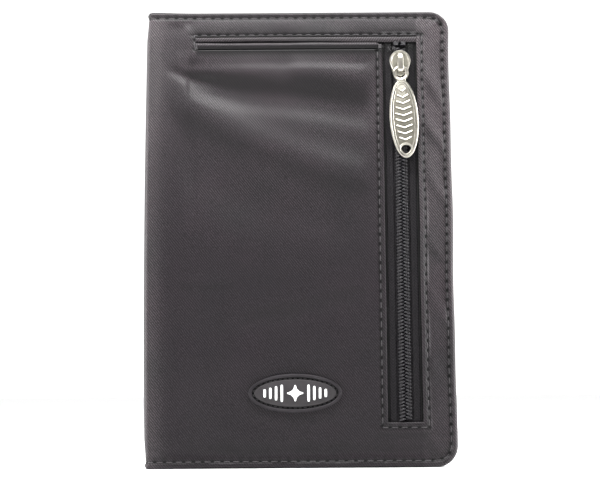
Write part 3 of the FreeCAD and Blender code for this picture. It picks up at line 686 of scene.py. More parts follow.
def crease_line(points):
    """Close-set x places of a fold, with its smoothed z and slope there."""
    x = np.linspace(points[0][0], points[-1][0], 160)
    z = np.interp(x, *np.array(points, float).T)
    window = 31
    padded = np.concatenate([2 * z[0] - z[window:0:-1], z, 2 * z[-1] - z[-2:-window - 2:-1]])
    z = np.convolve(padded, np.ones(window) / window, "same")[window:-window]
    return x, z, np.gradient(z, x)


def creases(x, z):
    """How far the soft folds lift the cloth."""
    lift = np.zeros(np.broadcast(x, z).shape)
    for points, width, height in CREASES:
        line_x, line_z, slope = crease_line(points)
        off = (z - np.interp(x, line_x, line_z)) / np.sqrt(1 + np.interp(x, line_x, slope) ** 2)
        run = (x - line_x[0]) / (line_x[-1] - line_x[0])
        lift += height * smooth(run * 5 + 0.5) * smooth((1 - run) * 5 + 0.5) * bump(off, width)
    return np.where(lift > 0, HIGHEST_FOLD * np.tanh(lift / HIGHEST_FOLD),
                    DEEPEST_FOLD * np.tanh(lift / DEEPEST_FOLD))


def gentle_waves(s, z, seed):
    """Low unevenness of cloth that was sewn and handled."""
    wave = 0.10 * np.sin(s / 9.0 + z / 23.0 + seed) + 0.08 * np.sin(z / 11.0 - s / 17.0 + 2.1 * seed)
    return wave + 0.05 * np.sin(s / 4.1 + z / 5.3 + 3.7 * seed)


def seam_ripple(distance, along, seed):
    """Small gathers that run in from an edge seam."""
    ripple = np.sin(along / 2.9 + seed) * np.sin(along / 7.7 + 2 * seed)
    return 0.2 * ripple * smooth((distance - 1.2) / 1.5) * smooth((11 - distance) / 7)


def cover_base(side, s, z):
    """A cover's face drops towards its sewn edges."""
    near_edge = 1 - smooth(edge_distance(s, z) / 10)
    return EDGE_DROP[side] * near_edge * (0.35 + 0.65 * smooth((s - 5) / 16))


def slot_span(s, before, after):
    """One along the slot and the zip's top, fading out over the lengths before and after them."""
    return smooth((s - S_SLOT_LEFT + before) / before) * smooth((S_WINDOW_RIGHT + after - s) / after)


def shell_depth(side, s, z):
    """Depth of the outer cloth under the cover's face."""
    edge = edge_distance(s, z)
    along = np.where(S_FREE - s < np.minimum(z, HEIGHT - z), z, s)
    depth = cover_base(side, s, z) + stitched_relief(edge, SEAM_INSET)
    depth = depth + 0.34 * bump(hole_distance(side, s, z), 0.62)
    depth = depth + seam_ripple(edge, along, 0.7 if side == FRONT else 2.9)
    if side == BACK:
        calm = smooth((s - 6) / 12) * smooth((edge - 1.5) / 5)
        return depth + (1.4 * gentle_waves(s, z, 2.6) + 0.25) * calm
    window = window_distance(s, z)
    beside_zip = np.where(window < 9, stitched_relief(window, ZIP_SEAM_GAP), 0.0)
    depth = depth + beside_zip * np.where(z > OPENING_TOP, 0.4, 1.0)
    above = z - OPENING_TOP - SLOT_SEAM_RISE
    over_slot = slot_span(s, 3, 5) * (above > -SLOT_SEAM_RISE)
    depth = depth + over_slot * (0.12 * bump(above, 0.38) + 0.15 * bump(above, 2.8))
    free_strip = smooth((s - S_WINDOW_RIGHT) / 4)
    sewn = np.minimum(window, slot_distance(s, z))
    calm = smooth((s - 6) / 12) * smooth((edge - 1.2) / (5 - 3 * free_strip))
    calm = calm * smooth((sewn - 1.0) / (6.5 - 4.5 * free_strip))
    x = s - S_PANEL + FRONT_LOW[0]
    below_slot = smooth((LIP_LOW[2] - z) / 2.5)
    depth = depth - creases(x, z) * calm * (0.35 + 0.65 * below_slot)
    depth = depth + 1.5 * gentle_waves(s, z, 0.4) * calm
    depth = depth + 0.55 * smooth(calm * 1.2) * (1 - over_slot)
    beyond_badge = smooth((badge_distance(x, z) - 0.3) / 5)
    return depth * beyond_badge + 0.30 * (1 - beyond_badge)


def corner_grid(s, z, s_high, z_low, z_high, radius):
    """Bends a straight grid so that its two corners at the free edge are round."""
    s_centre = s_high - radius
    for z_centre, way in ((z_high - radius, 1), (z_low + radius, -1)):
        u = np.clip((s - s_centre) / radius, 0, 1)
        v = np.clip(way * (z - z_centre) / radius, 0, 1)
        inside = (u > 0) & (v > 0)
        s = np.where(inside, s_centre + radius * u * np.sqrt(1 - v * v / 2), s)
        z = np.where(inside, z_centre + way * radius * v * np.sqrt(1 - u * u / 2), z)
    return s, z


def grid_quads(keep, rows):
    """Quads of the kept cells of a grid whose points are numbered s-index * rows + z-index."""
    i, j = np.nonzero(keep)
    return np.stack([i * rows + j, (i + 1) * rows + j, (i + 1) * rows + j + 1, i * rows + j + 1], 1)


def border_chains(keep, rows):
    """Chains of border points, walked with the cloth on the left."""
    padded = np.pad(keep, 1)
    here = padded[1:-1, 1:-1]
    i, j = np.meshgrid(*map(np.arange, keep.shape), indexing="ij")
    corner = {"a": (i, j), "b": (i + 1, j), "c": (i + 1, j + 1), "d": (i, j + 1)}
    sides = (("a", "b", padded[1:-1, :-2]), ("b", "c", padded[2:, 1:-1]),
             ("c", "d", padded[1:-1, 2:]), ("d", "a", padded[:-2, 1:-1]))
    follow = {}
    for begin, end, beyond in sides:
        open_side = here & ~beyond
        first = corner[begin][0][open_side] * rows + corner[begin][1][open_side]
        second = corner[end][0][open_side] * rows + corner[end][1][open_side]
        follow.update(zip(first.tolist(), second.tolist()))
    chains = []
    while follow:
        start = min(follow)
        chain = [start]
        while chain[-1] in follow:
            chain.append(follow.pop(chain[-1]))
        chains.append(chain)
    return chains


def outward_ways(flat, closed):
    """Unit ways out of the cloth at each point of a chain, longer at corners so edges stay even."""
    steps = np.diff(flat, axis=0)
    steps /= np.linalg.norm(steps, axis=1)[:, None] + 1e-12
    side = np.stack([steps[:, 1], -steps[:, 0]], 1)
    if closed:
        before, after = np.vstack([side[-1], side]), np.vstack([side, side[0]])
    else:
        before, after = np.vstack([side[0], side]), np.vstack([side, side[-1]])
    total = before + after
    return total / (1 + np.sum(before * after, axis=1))[:, None]


class ClothFace:
    """A face of cloth on a grid in (s, z), with rolled and turned-in borders added to it."""

    def __init__(self, s_lines, z_lines, keep, bend=None):
        s, z = np.meshgrid(s_lines, z_lines, indexing="ij")
        if bend:
            s, z = bend(s, z)
        self.rows = len(z_lines)
        self.flat = np.stack([s.ravel(), z.ravel()], 1)
        self.extra = np.zeros(len(self.flat))
        self.faces = [grid_quads(keep, self.rows)]
        self.chains = border_chains(keep, self.rows)

    def turn_edge(self, chain, profile, closed):
        """Adds rows beyond a chain. Each row of the profile is (way out, depth below the face)."""
        base = self.flat[chain]
        ways = outward_ways(base, closed)
        near = np.array(chain)
        for out, depth in profile(base):
            first = len(self.flat)
            self.flat = np.vstack([self.flat, base + ways * out])
            self.extra = np.concatenate([self.extra, np.broadcast_to(depth, len(base))])
            far = np.arange(first, first + len(base))
            if closed:
                far[-1] = far[0]
            self.faces.append(np.stack([near[:-1], far[:-1], far[1:], near[1:]], 1))
            near = far
        return near

    def close_back(self, thickness):
        """Adds a second layer at that depth, joined to the face by half-round edges."""
        count = len(self.flat)
        front = self.faces[0]
        self.flat = np.vstack([self.flat, self.flat])
        self.extra = np.concatenate([self.extra, np.full(count, thickness)])
        self.faces.append(front[:, ::-1] + count)
        for chain in self.chains:
            closed = chain[0] == chain[-1]
            last = self.turn_edge(chain, half_round(thickness), closed)
            back = np.array(chain) + count
            self.faces.append(np.stack([last[:-1], back[:-1], back[1:], last[1:]], 1))

    def build(self, name, fold, depth_of, material, marks=None, solid=False):
        """Lays the face on a fold. depth_of is called with (s, z, extra depth of the border row)."""
        s, z = self.flat.T
        points = fold.lie(s, z, depth_of(s, z, self.extra))
        faces = np.vstack(self.faces)
        if fold.side == BACK:
            faces = faces[:, ::-1]
        used, packed = np.unique(faces, return_inverse=True)
        made_marks = {key: made(s, z)[used] for key, made in (marks or {}).items()}
        uv = np.stack([fold.side * -s, z], 1)
        return make_object(name, points[used], packed.reshape(-1, 4), uv[used], material, 60,
                           made_marks, solid)


def half_round(thickness, steps=4):
    """Profile of a slab's edge, between its two faces."""
    def rows(base):
        for number in range(1, steps):
            angle = math.pi * number / steps
            yield abs(thickness) / 2 * math.sin(angle), thickness * (1 - math.cos(angle)) / 2
    return rows


def roll(thickness, radius, hem, tuck, steps=7):
    """Profile of a rolled edge: a half round, then a hem that lies inside and tucks back."""
    def rows(base):
        depth = thickness(base) if callable(thickness) else thickness
        for number in range(1, steps + 1):
            angle = math.pi * number / steps
            yield radius * math.sin(angle), depth * (1 - math.cos(angle)) / 2
        for share in (0.3, 0.6, 0.92):
            yield -hem * share, depth * (1 - 0.04 * math.sin(math.pi * share))
        yield -hem * 0.98, depth - 0.2 * tuck
        yield -hem, depth - 0.7 * tuck
        yield -hem + 0.5, depth - tuck
    return rows


def painted_seam_shade_mark(side, s, z):
    """Painted shade, from 0 to 1: dark needle holes, shade along the seams and a painted shadow under
    the slot's lip.
    """
    seam = bump(edge_distance(s, z) - SEAM_INSET, 0.5)
    if side == FRONT:
        on_zip = bump(window_distance(s, z) - ZIP_SEAM_GAP, 0.5) * (z < OPENING_TOP)
        on_slot = bump(z - OPENING_TOP - SLOT_SEAM_RISE, 0.5)
        on_slot = on_slot * (s > S_SLOT_LEFT - 1) * (s < S_WINDOW_RIGHT + 1)
        # A painted shadow on the cloth just under the slot's lip.
        under_lip = bump(z - LIP_LOW[2] + 0.4, 1.5) * (slot_distance(s, z) < 2.4)
        under_lip = 2.6 * under_lip * (z < LIP_LOW[2] + 0.5) * (s > S_SLOT_LEFT)
        seam = np.maximum.reduce([seam, on_zip, on_slot, under_lip])
    return np.clip(0.30 * seam + 1.1 * bump(hole_distance(side, s, z), 0.66), 0, 1)


def painted_highlight_mark(side, s, z):
    """Painted highlight, from 0 to 1: lighter cloth on the fold, the free edge, the strip beside the
    zip and the top, where the light falls.
    """
    fold = bump(s - SHELL_FOLD[FRONT].straight - 2.6, 4.0) * (0.60 + 0.50 * smooth((z - 95) / 35))
    rim = 0.30 * bump(S_FREE - s, 0.9) + 0.20 * bump(S_FREE - s, 5.0)
    if side == FRONT:
        free_strip = smooth((s - S_WINDOW_RIGHT + 0.4) / 0.8) * (0.20 + 0.90 * smooth((z - 28) / 85))
        top = 0.13 * smooth((z - 55) / 45) + 0.18 * smooth((z - 88) / 45)
        painted_light_areas = 0.72 * free_strip + top
    else:
        painted_light_areas = 0.2 * smooth((s - 85) / 15)
    hem = smooth((SEAM_INSET - (HEIGHT - z)) / 0.8)
    return np.clip((fold + rim + painted_light_areas) * (1 - 0.8 * hem), 0, 1)


def painted_shade_mark(side, s, z):
    """Painted shade, from 0 to 1: darker where the satin face leans down from the light above, under
    the slot's lip, and in a band over the slot's seam.
    """
    reach = 1.2
    rise = shell_depth(side, s, z + reach) - shell_depth(side, s, z - reach)
    lean = (-rise / (2 * reach) - 0.05) / 0.24
    if side == FRONT:
        in_shade = smooth((z - LIP_LOW[2] + 2.4) / 2.2) * (slot_distance(s, z) < 2.4)
        in_shade = in_shade * (z < LIP_LOW[2] + 0.5) * (s > S_SLOT_LEFT)
        above = z - OPENING_TOP - SLOT_SEAM_RISE
        # Painted shade in the band above the slot's seam.
        over_slot = 0.8 * slot_span(s, 4, 5) * smooth((5.5 - above) / 5.5) * (above > -0.8)
        lean = np.maximum.reduce([lean, in_shade, over_slot])
    return np.clip(lean, 0, 1)


EDGE_RADIUS = 0.9
OPENING_ROLL = 0.45


def hem_depth(side):
    """How deep a cover's rolled edge is: thin at the fold, full beyond it."""
    at_fold, beyond = 1.15, 2.3 if side == FRONT else 1.3
    return lambda base: at_fold + (beyond - at_fold) * smooth((base[:, 0] - 5) / 12)


def snap(lines, wanted):
    """Moves the nearest grid line onto each wanted place."""
    lines = lines.copy()
    for place in wanted:
        lines[np.argmin(np.abs(lines - place))] = place
    return lines


def shell_grid(side, s_high, z_low, z_high):
    """Grid lines of a cover's cloth, finer along its seams, and which cells are left of the cloth."""
    s_zones = [(0, S_PANEL + 1), (s_high - 3.2, s_high)]
    z_zones = [(z_low, z_low + 3.2), (z_high - 3.2, z_high)]
    s_places, z_places = (), ()
    if side == FRONT:
        s_zones += [(S_WINDOW_LEFT - 3, S_WINDOW_LEFT), (S_WINDOW_RIGHT, S_WINDOW_RIGHT + 3),
                    (S_SLOT_LEFT - 1.5, S_SLOT_LEFT)]
        z_zones += [(WINDOW_BOTTOM - 3, WINDOW_BOTTOM), (LIP_LOW[2] - 1, LIP_LOW[2]),
                    (OPENING_TOP, OPENING_TOP + 2)]
        s_places = (S_SLOT_LEFT - OPENING_ROLL, S_WINDOW_LEFT - OPENING_ROLL,
                    S_WINDOW_RIGHT + OPENING_ROLL)
        z_places = (WINDOW_BOTTOM - OPENING_ROLL, LIP_LOW[2] - OPENING_ROLL,
                    OPENING_TOP + OPENING_ROLL)
    coarse, fine = 0.65, 0.22
    s_lines = snap(graded(0, s_high, coarse, fine, s_zones), s_places)
    z_lines = snap(graded(z_low, z_high, coarse, fine, z_zones), z_places)
    s_mid = (s_lines[:-1] + s_lines[1:])[:, None] / 2
    z_mid = (z_lines[:-1] + z_lines[1:])[None, :] / 2
    keep = np.ones((len(s_lines) - 1, len(z_lines) - 1), bool)
    if side == FRONT:
        keep &= window_distance(s_mid, z_mid) > OPENING_ROLL
        keep &= slot_distance(s_mid, z_mid) > OPENING_ROLL
    return s_lines, z_lines, keep


def make_shell(side):
    """One half of the outer cloth, from the middle of the spine to the free edge."""
    s_high = S_FREE - EDGE_RADIUS
    z_low, z_high = EDGE_RADIUS, HEIGHT - EDGE_RADIUS
    s_lines, z_lines, keep = shell_grid(side, s_high, z_low, z_high)
    face = ClothFace(s_lines, z_lines, keep, lambda s, z: corner_grid(
        s, z, s_high, z_low, z_high, CORNER_RADIUS - EDGE_RADIUS))
    rows = len(z_lines)
    for chain in face.chains:
        if min(chain) < rows:
            around = [point for point in chain[:-1] if not 0 < point < rows - 1]
            start = around.index(0)
            around = around[start:] + around[:start]
            profile = roll(hem_depth(side), EDGE_RADIUS, hem=HEM_WIDTH, tuck=0.42)
            face.turn_edge(around, profile, closed=False)
        else:
            profile = roll(2 * OPENING_ROLL, OPENING_ROLL, hem=1.6, tuck=0.12)
            face.turn_edge(chain, profile, closed=True)

    def depth_of(s, z, extra):
        return np.where(extra == 0, shell_depth(side, s, z), cover_base(side, s, z) + extra)

    # Painted shade along the seams, a painted highlight, and painted shade where the cloth leans down.
    marks = {"needle": partial(painted_seam_shade_mark, side), "painted_highlight": partial(painted_highlight_mark, side),
             "lean": partial(painted_shade_mark, side)}
    shell = face.build(f"{WORD[side]}_shell", SHELL_FOLD[side], depth_of, TWILL, marks)
    turned_in = HEM_WIDTH + 2
    flat = (S_FREE + turned_in, HEIGHT + 2 * turned_in)
    cut_out = np.sum(np.outer(np.diff(s_lines), np.diff(z_lines))[~keep])
    declare_sheet(flat, 1 - cut_out / (flat[0] * flat[1]))
    return shell


# ---------------------------------------------------------------- stitches

STITCH_SHARE = np.array([0.0, 0.08, 0.25, 0.5, 0.75, 0.92, 1.0])
STITCH_DIP = np.array([0.50, 0.18, -0.02, -0.08, -0.02, 0.18, 0.50])


def stitches(name, route, surface, body, *replaced, material=None, pitch=STITCH_PITCH,
             radius=THREAD_RADIUS):
    """A row of separate stitches along a route of (s, z). surface lays (s, z, dip)."""
    reach = STITCH_LENGTH / STITCH_PITCH * pitch

    def places(length):
        spacing = length / stitch_count(length, pitch)
        starts = spacing * np.arange(stitch_count(length, pitch)) + (spacing - reach) / 2
        return (starts[:, None] + STITCH_SHARE * reach).ravel()

    pile = Pile()
    for number, stitch in enumerate(along_route(route, places).reshape(-1, len(STITCH_SHARE), 2)):
        s, z = stitch.T
        slant = 0.05 * math.sin(number * 2.3)
        pile.add(*tube(surface(s, z + slant * (STITCH_SHARE - 0.5), STITCH_DIP), radius))
    made = pile.build(name, material or THREAD, 80)
    dress(made, "thread", body, *replaced)
    return made


def on_shell(side, s, z, dip):
    """A stitch's place on the outer cloth: its dip goes into the cloth."""
    return SHELL_FOLD[side].lie(s, z, shell_depth(side, s, z) - 0.06 + dip)


def bend_at_fold(piece, side):
    """Bakes the piece's transform into its mesh; the places of the fold are worked out but not used."""
    start = (FOLD_X * MM, (MID_Y + side * (HALF_THICK - FOLD_RADIUS)) * MM, 0)
    end = (FRONT_LOW[0] * MM, (MID_Y + side * HALF_THICK) * MM, 0)
    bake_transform(piece)


def cover_nodes(side, piece, spine_piece):
    """The CAD nodes of a layer: the front's half of the cloth also covers the spine."""
    return [f"{WORD[side]}_{piece}"] + ([spine_piece] if side == FRONT else [])


def make_cover(side):
    """A cover's outer cloth and the row of stitches round it."""
    shell = make_shell(side)
    dress(shell, "shell", None, *cover_nodes(side, "outer_panel", "spine_outer_panel"))
    bend_at_fold(shell, side)
    row = stitches(f"{WORD[side]}_edge_stitches", edge_route(), partial(on_shell, side), None,
                   *cover_nodes(side, "edge_stitching", "spine_stitching"))
    bend_at_fold(row, side)


# ---------------------------------------------------------------- slabs of cloth

def front_point(x, z, depth):
    """A point on the front cover, away from the fold, at that depth under its face."""
    return np.stack(np.broadcast_arrays(x, FRONT_Y + depth, z), -1).astype(float)


def inner_depth(side, s, z, nominal):
    """Depth of an inner layer: squeezed at the sewn edges, and near the shell beside the fold."""
    bags = 1.5 if side == FRONT else 0.0
    over_bags = nominal - bags * (1 - smooth((s - S_PANEL - 1.0) / 9))
    squeeze = 0.6 + 0.4 * smooth((edge_distance(s, z) - 3.2) / 11)
    return cover_base(side, s, z) + over_bags * squeeze


def make_slab(name, side, sides, layer, thickness, material, slot_name, body=None, step=2.0,
              relief=None, zones=((), ()), keep=None, radius=0.0):
    """A thin closed slab on a cover. sides is (left, right, bottom, top), with None for a left
    side at the middle of the spine. layer is the depth of its face, which looks inwards."""
    left, right, bottom, top = sides
    s_low = 0.0 if left is None else s_at(left)
    s_high = s_at(right)
    spine_zone = [(0, S_PANEL + 1)] if left is None else []
    s_lines = graded(s_low, s_high, step, 0.3, [*zones[0], *spine_zone])
    z_lines = graded(bottom, top, step, 0.3, zones[1])
    kept = np.ones((len(s_lines) - 1, len(z_lines) - 1), bool)
    if keep:
        s_mid = (s_lines[:-1] + s_lines[1:])[:, None] / 2
        kept &= keep(s_mid, (z_lines[:-1] + z_lines[1:])[None, :] / 2)
    bend = (lambda s, z: corner_grid(s, z, s_high, bottom, top, radius)) if radius else None
    face = ClothFace(s_lines, z_lines, kept, bend)
    face.close_back(-thickness)

    def depth_of(s, z, extra):
        raised = relief(s, z) if relief else 0.0
        return inner_depth(side, s, z, layer) + raised * (extra == 0) + extra

    made = face.build(name, SHELL_FOLD[side], depth_of, material, solid=True)
    flat = (s_high - s_low, top - bottom)
    share = np.sum(np.outer(np.diff(s_lines), np.diff(z_lines))[kept]) / (flat[0] * flat[1])
    declare_sheet(flat, share)
    dress(made, slot_name, body)
    return made


def inner_layer(node, side):
    """Depth, under the cover's outer face, of the face of a CAD node that looks into the wallet."""
    low, high = box_mm(node)
    return abs(high[1] - FRONT_Y) if side == FRONT else abs(low[1] - BACK_Y)


def make_lining(side):
    """A cover's lining, with small puckers beside its seam."""
    node = f"{WORD[side]}_lining"

    def puckers(s, z):
        return 0.05 * np.sin(s / 6.1 + z / 8.7) - 0.3 * stitched_relief(edge_distance(s, z), 4.2)

    lining = make_slab(f"{node}_cloth", side, (None, *sides_of(node)[1:]), inner_layer(node, side),
                       LINING_THICKNESS, LINING, "lining", step=1.6, relief=puckers,
                       radius=CORNER_RADIUS - 1)
    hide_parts(*cover_nodes(side, "lining", "spine_lining"))
    bend_at_fold(lining, side)


POCKET_HEM = 4.0


def pocket_relief(top, seed, s, z):
    """A pocket's face: a rolled hem at its mouth with a stitched groove, and slack cloth below."""
    under = top - z
    hem = -0.10 * smooth((POCKET_HEM + 0.6 - under) / 0.7) + 0.10 * bump(under - POCKET_HEM, 0.35)
    lip = -0.06 * bump(under - 0.5, 0.6)
    return hem + lip + 0.04 * np.sin(s / 7.0 + seed) * np.sin(z / 9.0 + 2 * seed)


def on_layer(side, layer, s, z, dip):
    """A stitch's place on an inner layer: its dip goes towards the shell."""
    return SHELL_FOLD[side].lie(s, z, inner_depth(side, s, z, layer) + 0.02 - dip)


def make_pocket(node, side, seed):
    """A pocket of plain cloth, with a row of stitches along the hem of its mouth."""
    left, right, bottom, top = sides_of(node)
    layer = inner_layer(node, side)
    pocket = make_slab(f"{node}_cloth", side, (left, right, bottom, top), layer,
                       POCKET_THICKNESS, POCKET, "pocket_cloth", COVER[side], step=2.4,
                       relief=partial(pocket_relief, top, seed),
                       zones=((), [(top - POCKET_HEM - 2, top)]))
    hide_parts(node)
    hem = top - POCKET_HEM
    stitches(f"{node}_hem_stitches", [(s_at(left + 3), hem), (s_at(right - 3), hem)],
             partial(on_layer, side, layer), COVER[side])


def make_inside():
    """Linings, slip pockets, card pockets and the identity window, with their seams."""
    make_lining(FRONT)
    make_lining(BACK)
    make_pocket("bill_pocket", FRONT, 0.3)
    for number in range(1, 5):
        make_pocket(f"card_pocket_{number}", FRONT, number * 1.7)
    make_pocket("boarding_pass_pocket", BACK, 0.9)
    make_pocket("passport_pocket", BACK, 2.2)
    left, right, bottom, top = sides_of("card_pocket_stitching")
    left, right = s_at(left), s_at(right)
    stitches("card_pocket_stitches", [(left, top), (left, bottom), (right, bottom), (right, top)],
             partial(on_layer, FRONT, inner_layer("card_pocket_4", FRONT)), "front_cover",
             "card_pocket_stitching")
    make_identity_window()


def make_identity_window():
    """A frame of pocket cloth round a clear film that bulges a little."""
    left, right, bottom, top = sides_of("id_window_frame")
    film_left, film_right, film_bottom, film_top = film_sides = sides_of("id_window")
    rim = 2.0
    hole = (s_at(film_left + rim), s_at(film_right - rim), film_bottom + rim, film_top - rim)
    layer = inner_layer("id_window_frame", BACK)

    def frame_relief(s, z):
        outer = -rectangle_distance(s, z, s_at(left), s_at(right), bottom, top)
        inner = rectangle_distance(s, z, *hole)
        return -0.05 * bump(outer - 0.7, 0.7) + 0.08 * bump(inner - 1.2, 0.35)

    zones = ([(hole[0] - 2, hole[0]), (hole[1], hole[1] + 2)],
             [(hole[2] - 2, hole[2]), (hole[3], hole[3] + 2)])
    frame_cloth = make_slab("id_window_frame_cloth", BACK, (left, right, bottom, top), layer,
                            POCKET_THICKNESS, POCKET, "pocket_cloth", "back_cover",
                            relief=frame_relief, zones=zones,
                            keep=lambda s, z: rectangle_distance(s, z, *hole) > 0)
    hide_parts("id_window_frame")

    def bulge(s, z):
        across = np.clip((s - hole[0]) / (hole[1] - hole[0]), 0, 1)
        up = np.clip((z - hole[2]) / (hole[3] - hole[2]), 0, 1)
        return 0.06 - 0.12 * np.sin(math.pi * across) * np.sin(math.pi * up)

    film = make_slab("id_window_film", BACK, film_sides, layer - 0.10, FILM_THICKNESS, FILM,
                     "window_film", "back_cover", step=1.5, relief=bulge)
    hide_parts("id_window")
    left, right, bottom, top = sides_of("window_stitching")
    left, right = s_at(left + 0.2), s_at(right - 0.2)
    around = [(left, top), (left, bottom), (right, bottom), (right, top), (left, top)]
    stitches("window_stitches", around, partial(on_layer, BACK, layer), "back_cover",
             "window_stitching")


# ---------------------------------------------------------------- the front's slot and zip

def sweep(name, stations, profile, material, marks):
    """A closed strip along x: profile(x) gives its loop of (z, depth) points, and each of the marks
    is a function of (z, depth)."""
    loops = [profile(x) for x in stations]
    sides = len(loops[0])
    points = np.vstack([front_point(np.full(sides, x), loop[:, 0], loop[:, 1])
                        for x, loop in zip(stations, loops)])
    steps = np.linalg.norm(np.diff(loops[0], axis=0), axis=1)
    run = np.concatenate([[0], np.cumsum(steps)])
    uv = np.stack([np.repeat(stations, sides), np.tile(run, len(stations))], 1)
    painted = {key: made(points[:, 2], points[:, 1] - FRONT_Y) for key, made in marks.items()}
    return make_object(name, points, tube_faces(len(stations), sides), uv, material, 60, painted,
                       solid=True)


def smooth_loop(corners, steps=4):
    """A closed loop through rounded corners, by Chaikin's cuts."""
    loop = np.array(corners, float)
    for _ in range(steps):
        after = np.roll(loop, -1, axis=0)
        loop = np.stack([loop * 0.75 + after * 0.25, loop * 0.25 + after * 0.75], 1).reshape(-1, 2)
    return loop


def welt_loop(x):
    """The upper welt's section at x: a flat fold that sags over the zip."""
    drop = 0.55 * smooth((x - 5) / 32) + 0.10 * math.sin(x / 9.0)
    bottom = WELT_LOW[2] + 0.15 - drop
    top = WELT_HIGH[2] + 0.5
    return smooth_loop([(top, 0.60), ((top + bottom) / 2, 0.22), (bottom + 0.25, 0.30),
                        (bottom - 0.12, 0.70), (bottom + 0.2, 1.08), (top, 1.02)], 3)


def lip_loop(x):
    """The lower lip's section at x: a roll that leans out of the slot, sewn down at both ends."""
    end = smooth((x - LIP_HIGH[0] + 2.2) / 2.6)
    start = smooth((LIP_LOW[0] + 1.0 - x) / 1.2)
    wave = 0.10 * math.sin(x / 7.3 + 0.6) + 0.06 * math.sin(x / 2.9)
    top = LIP_HIGH[2] + 0.05 + wave * 0.6 - 1.1 * end
    bottom = LIP_LOW[2] - 0.15 - 0.5 * end
    front = -0.26 - 0.05 * wave + 0.55 * end + 0.35 * start
    middle = (top + bottom) / 2
    return smooth_loop([(top - 0.1, front + 0.30), (middle + 0.35, front - 0.06),
                        (middle - 0.65, front + 0.16), (bottom + 0.22, front + 0.62),
                        (bottom - 0.05, 1.05), (bottom + 0.4, 1.16), (top - 0.6, 1.12),
                        (top + 0.05, 0.85)], 3)


def make_slot():
    """The slot's folded upper welt, its rolled lower lip, their bar tacks and the seams."""
    lip_top = LIP_HIGH[2]
    # A painted highlight on the welt's front.
    welt_marks = {"painted_highlight": lambda z, depth: 0.55 * smooth((0.8 - depth) / 0.4)}
    # On the lip: a painted highlight along its top edge and painted shade over its lower part.
    lip_marks = {
        "painted_highlight": lambda z, depth: 0.70 * smooth((z - lip_top + 1.0) / 0.8) * smooth((1.0 - depth) / 0.5),
        "lean": lambda z, depth: smooth((lip_top - 0.45 - z) / 1.5),
        "needle": lambda z, depth: 0.70 * smooth((lip_top - 0.9 - z) / 1.2),
    }
    welt = sweep("slot_welt", np.linspace(WELT_LOW[0] - 0.2, WELT_HIGH[0] + 0.3, 90), welt_loop,
                 TWILL, welt_marks)
    lip = sweep("slot_lip", np.linspace(LIP_LOW[0] - 0.1, LIP_HIGH[0] + 0.15, 120), lip_loop,
                TWILL, lip_marks)
    dress(welt, "shell", "front_cover", "slot_upper_welt")
    dress(lip, "shell", "front_cover", "slot_lower_lip")
    on_front = partial(on_shell, FRONT)
    stitches("slot_stitches", slot_route(), on_front, "front_cover", "slot_stitching")
    stitches("zip_seam_stitches", zip_route(), on_front, "front_cover", "zip_stitching")
    make_bar_tacks()


def make_bar_tacks():
    """Short dense stitching at both ends of the lip."""
    pile = Pile()
    across = np.linspace(-0.55, 0.55, 7)
    y = FRONT_Y - 0.24 + 0.65 * np.abs(across / 0.55) ** 3
    threads = 6
    for x, low, high in ((LIP_LOW[0] + 0.25, LIP_LOW[2], LIP_HIGH[2] - 0.1),
                         (LIP_HIGH[0] - 0.9, LIP_LOW[2] + 0.1, LIP_HIGH[2] - 0.8)):
        for number in range(threads):
            z = low + (high - low) * (number + 0.5) / threads
            pile.add(*tube(np.stack([x + across, y, z + 0.12 * across], 1), 0.13))
    dress(pile.build("slot_bar_tacks", THREAD, 80), "thread", "front_cover")


def make_tape(word, way):
    """A zip tape with a thick woven band beside the coil. way points from the zip's middle."""
    low, high = box_mm(f"zip_tape_{word}")
    inner = high[0] if way < 0 else low[0]
    x_lines = graded(low[0], high[0], 1.5, 0.16, [sorted((inner, inner + way * 6))])
    z_lines = graded(low[2], high[2], 1.2, 0.5, [])
    x, z = (lines.ravel() for lines in np.meshgrid(x_lines, z_lines, indexing="ij"))
    from_inner = (x - inner) * way
    band = smooth((from_inner - 2.15) / 0.35) * smooth((4.75 - from_inner) / 0.35)
    cord_edge = 0.12 * bump(from_inner - 5.2, 0.3)
    wave = (0.04 * np.sin(z / 3.3 + way) + 0.03 * np.sin(z * 2 * math.pi)) * band
    under_cloth = 0.75 * smooth((from_inner - 6.3) / 3.5)
    front = 1.22 - 0.30 * band - cord_edge + wave + under_cloth
    rows = len(z_lines)
    keep = np.ones((len(x_lines) - 1, rows - 1), bool)
    quads = grid_quads(keep, rows)
    chain = np.array(border_chains(keep, rows)[0])
    edge = np.stack([chain[:-1], chain[:-1] + x.size, chain[1:] + x.size, chain[1:]], 1)
    points = np.vstack([front_point(x, z, front), front_point(x, z, 1.52 + under_cloth)])
    faces = np.vstack([quads, quads[:, ::-1] + x.size, edge])
    uv = np.tile(np.stack([x, z], 1), (2, 1))
    by_edge = smooth(1.25 - np.abs(points[:, 0] - (WINDOW_LEFT if way < 0 else WINDOW_RIGHT)))
    under_welt = smooth((points[:, 2] - WELT_LOW[2] + 6) / 4)
    tape = make_object(f"zip_tape_{word}_weave", points, faces, uv, TAPE, 50,
                       {"shade": np.maximum(by_edge, under_welt)}, solid=True)
    declare_sheet((high[0] - low[0], high[2] - low[2]))
    dress(tape, "zip_tape", "front_cover", f"zip_tape_{word}")


COIL_PITCH = 1.1


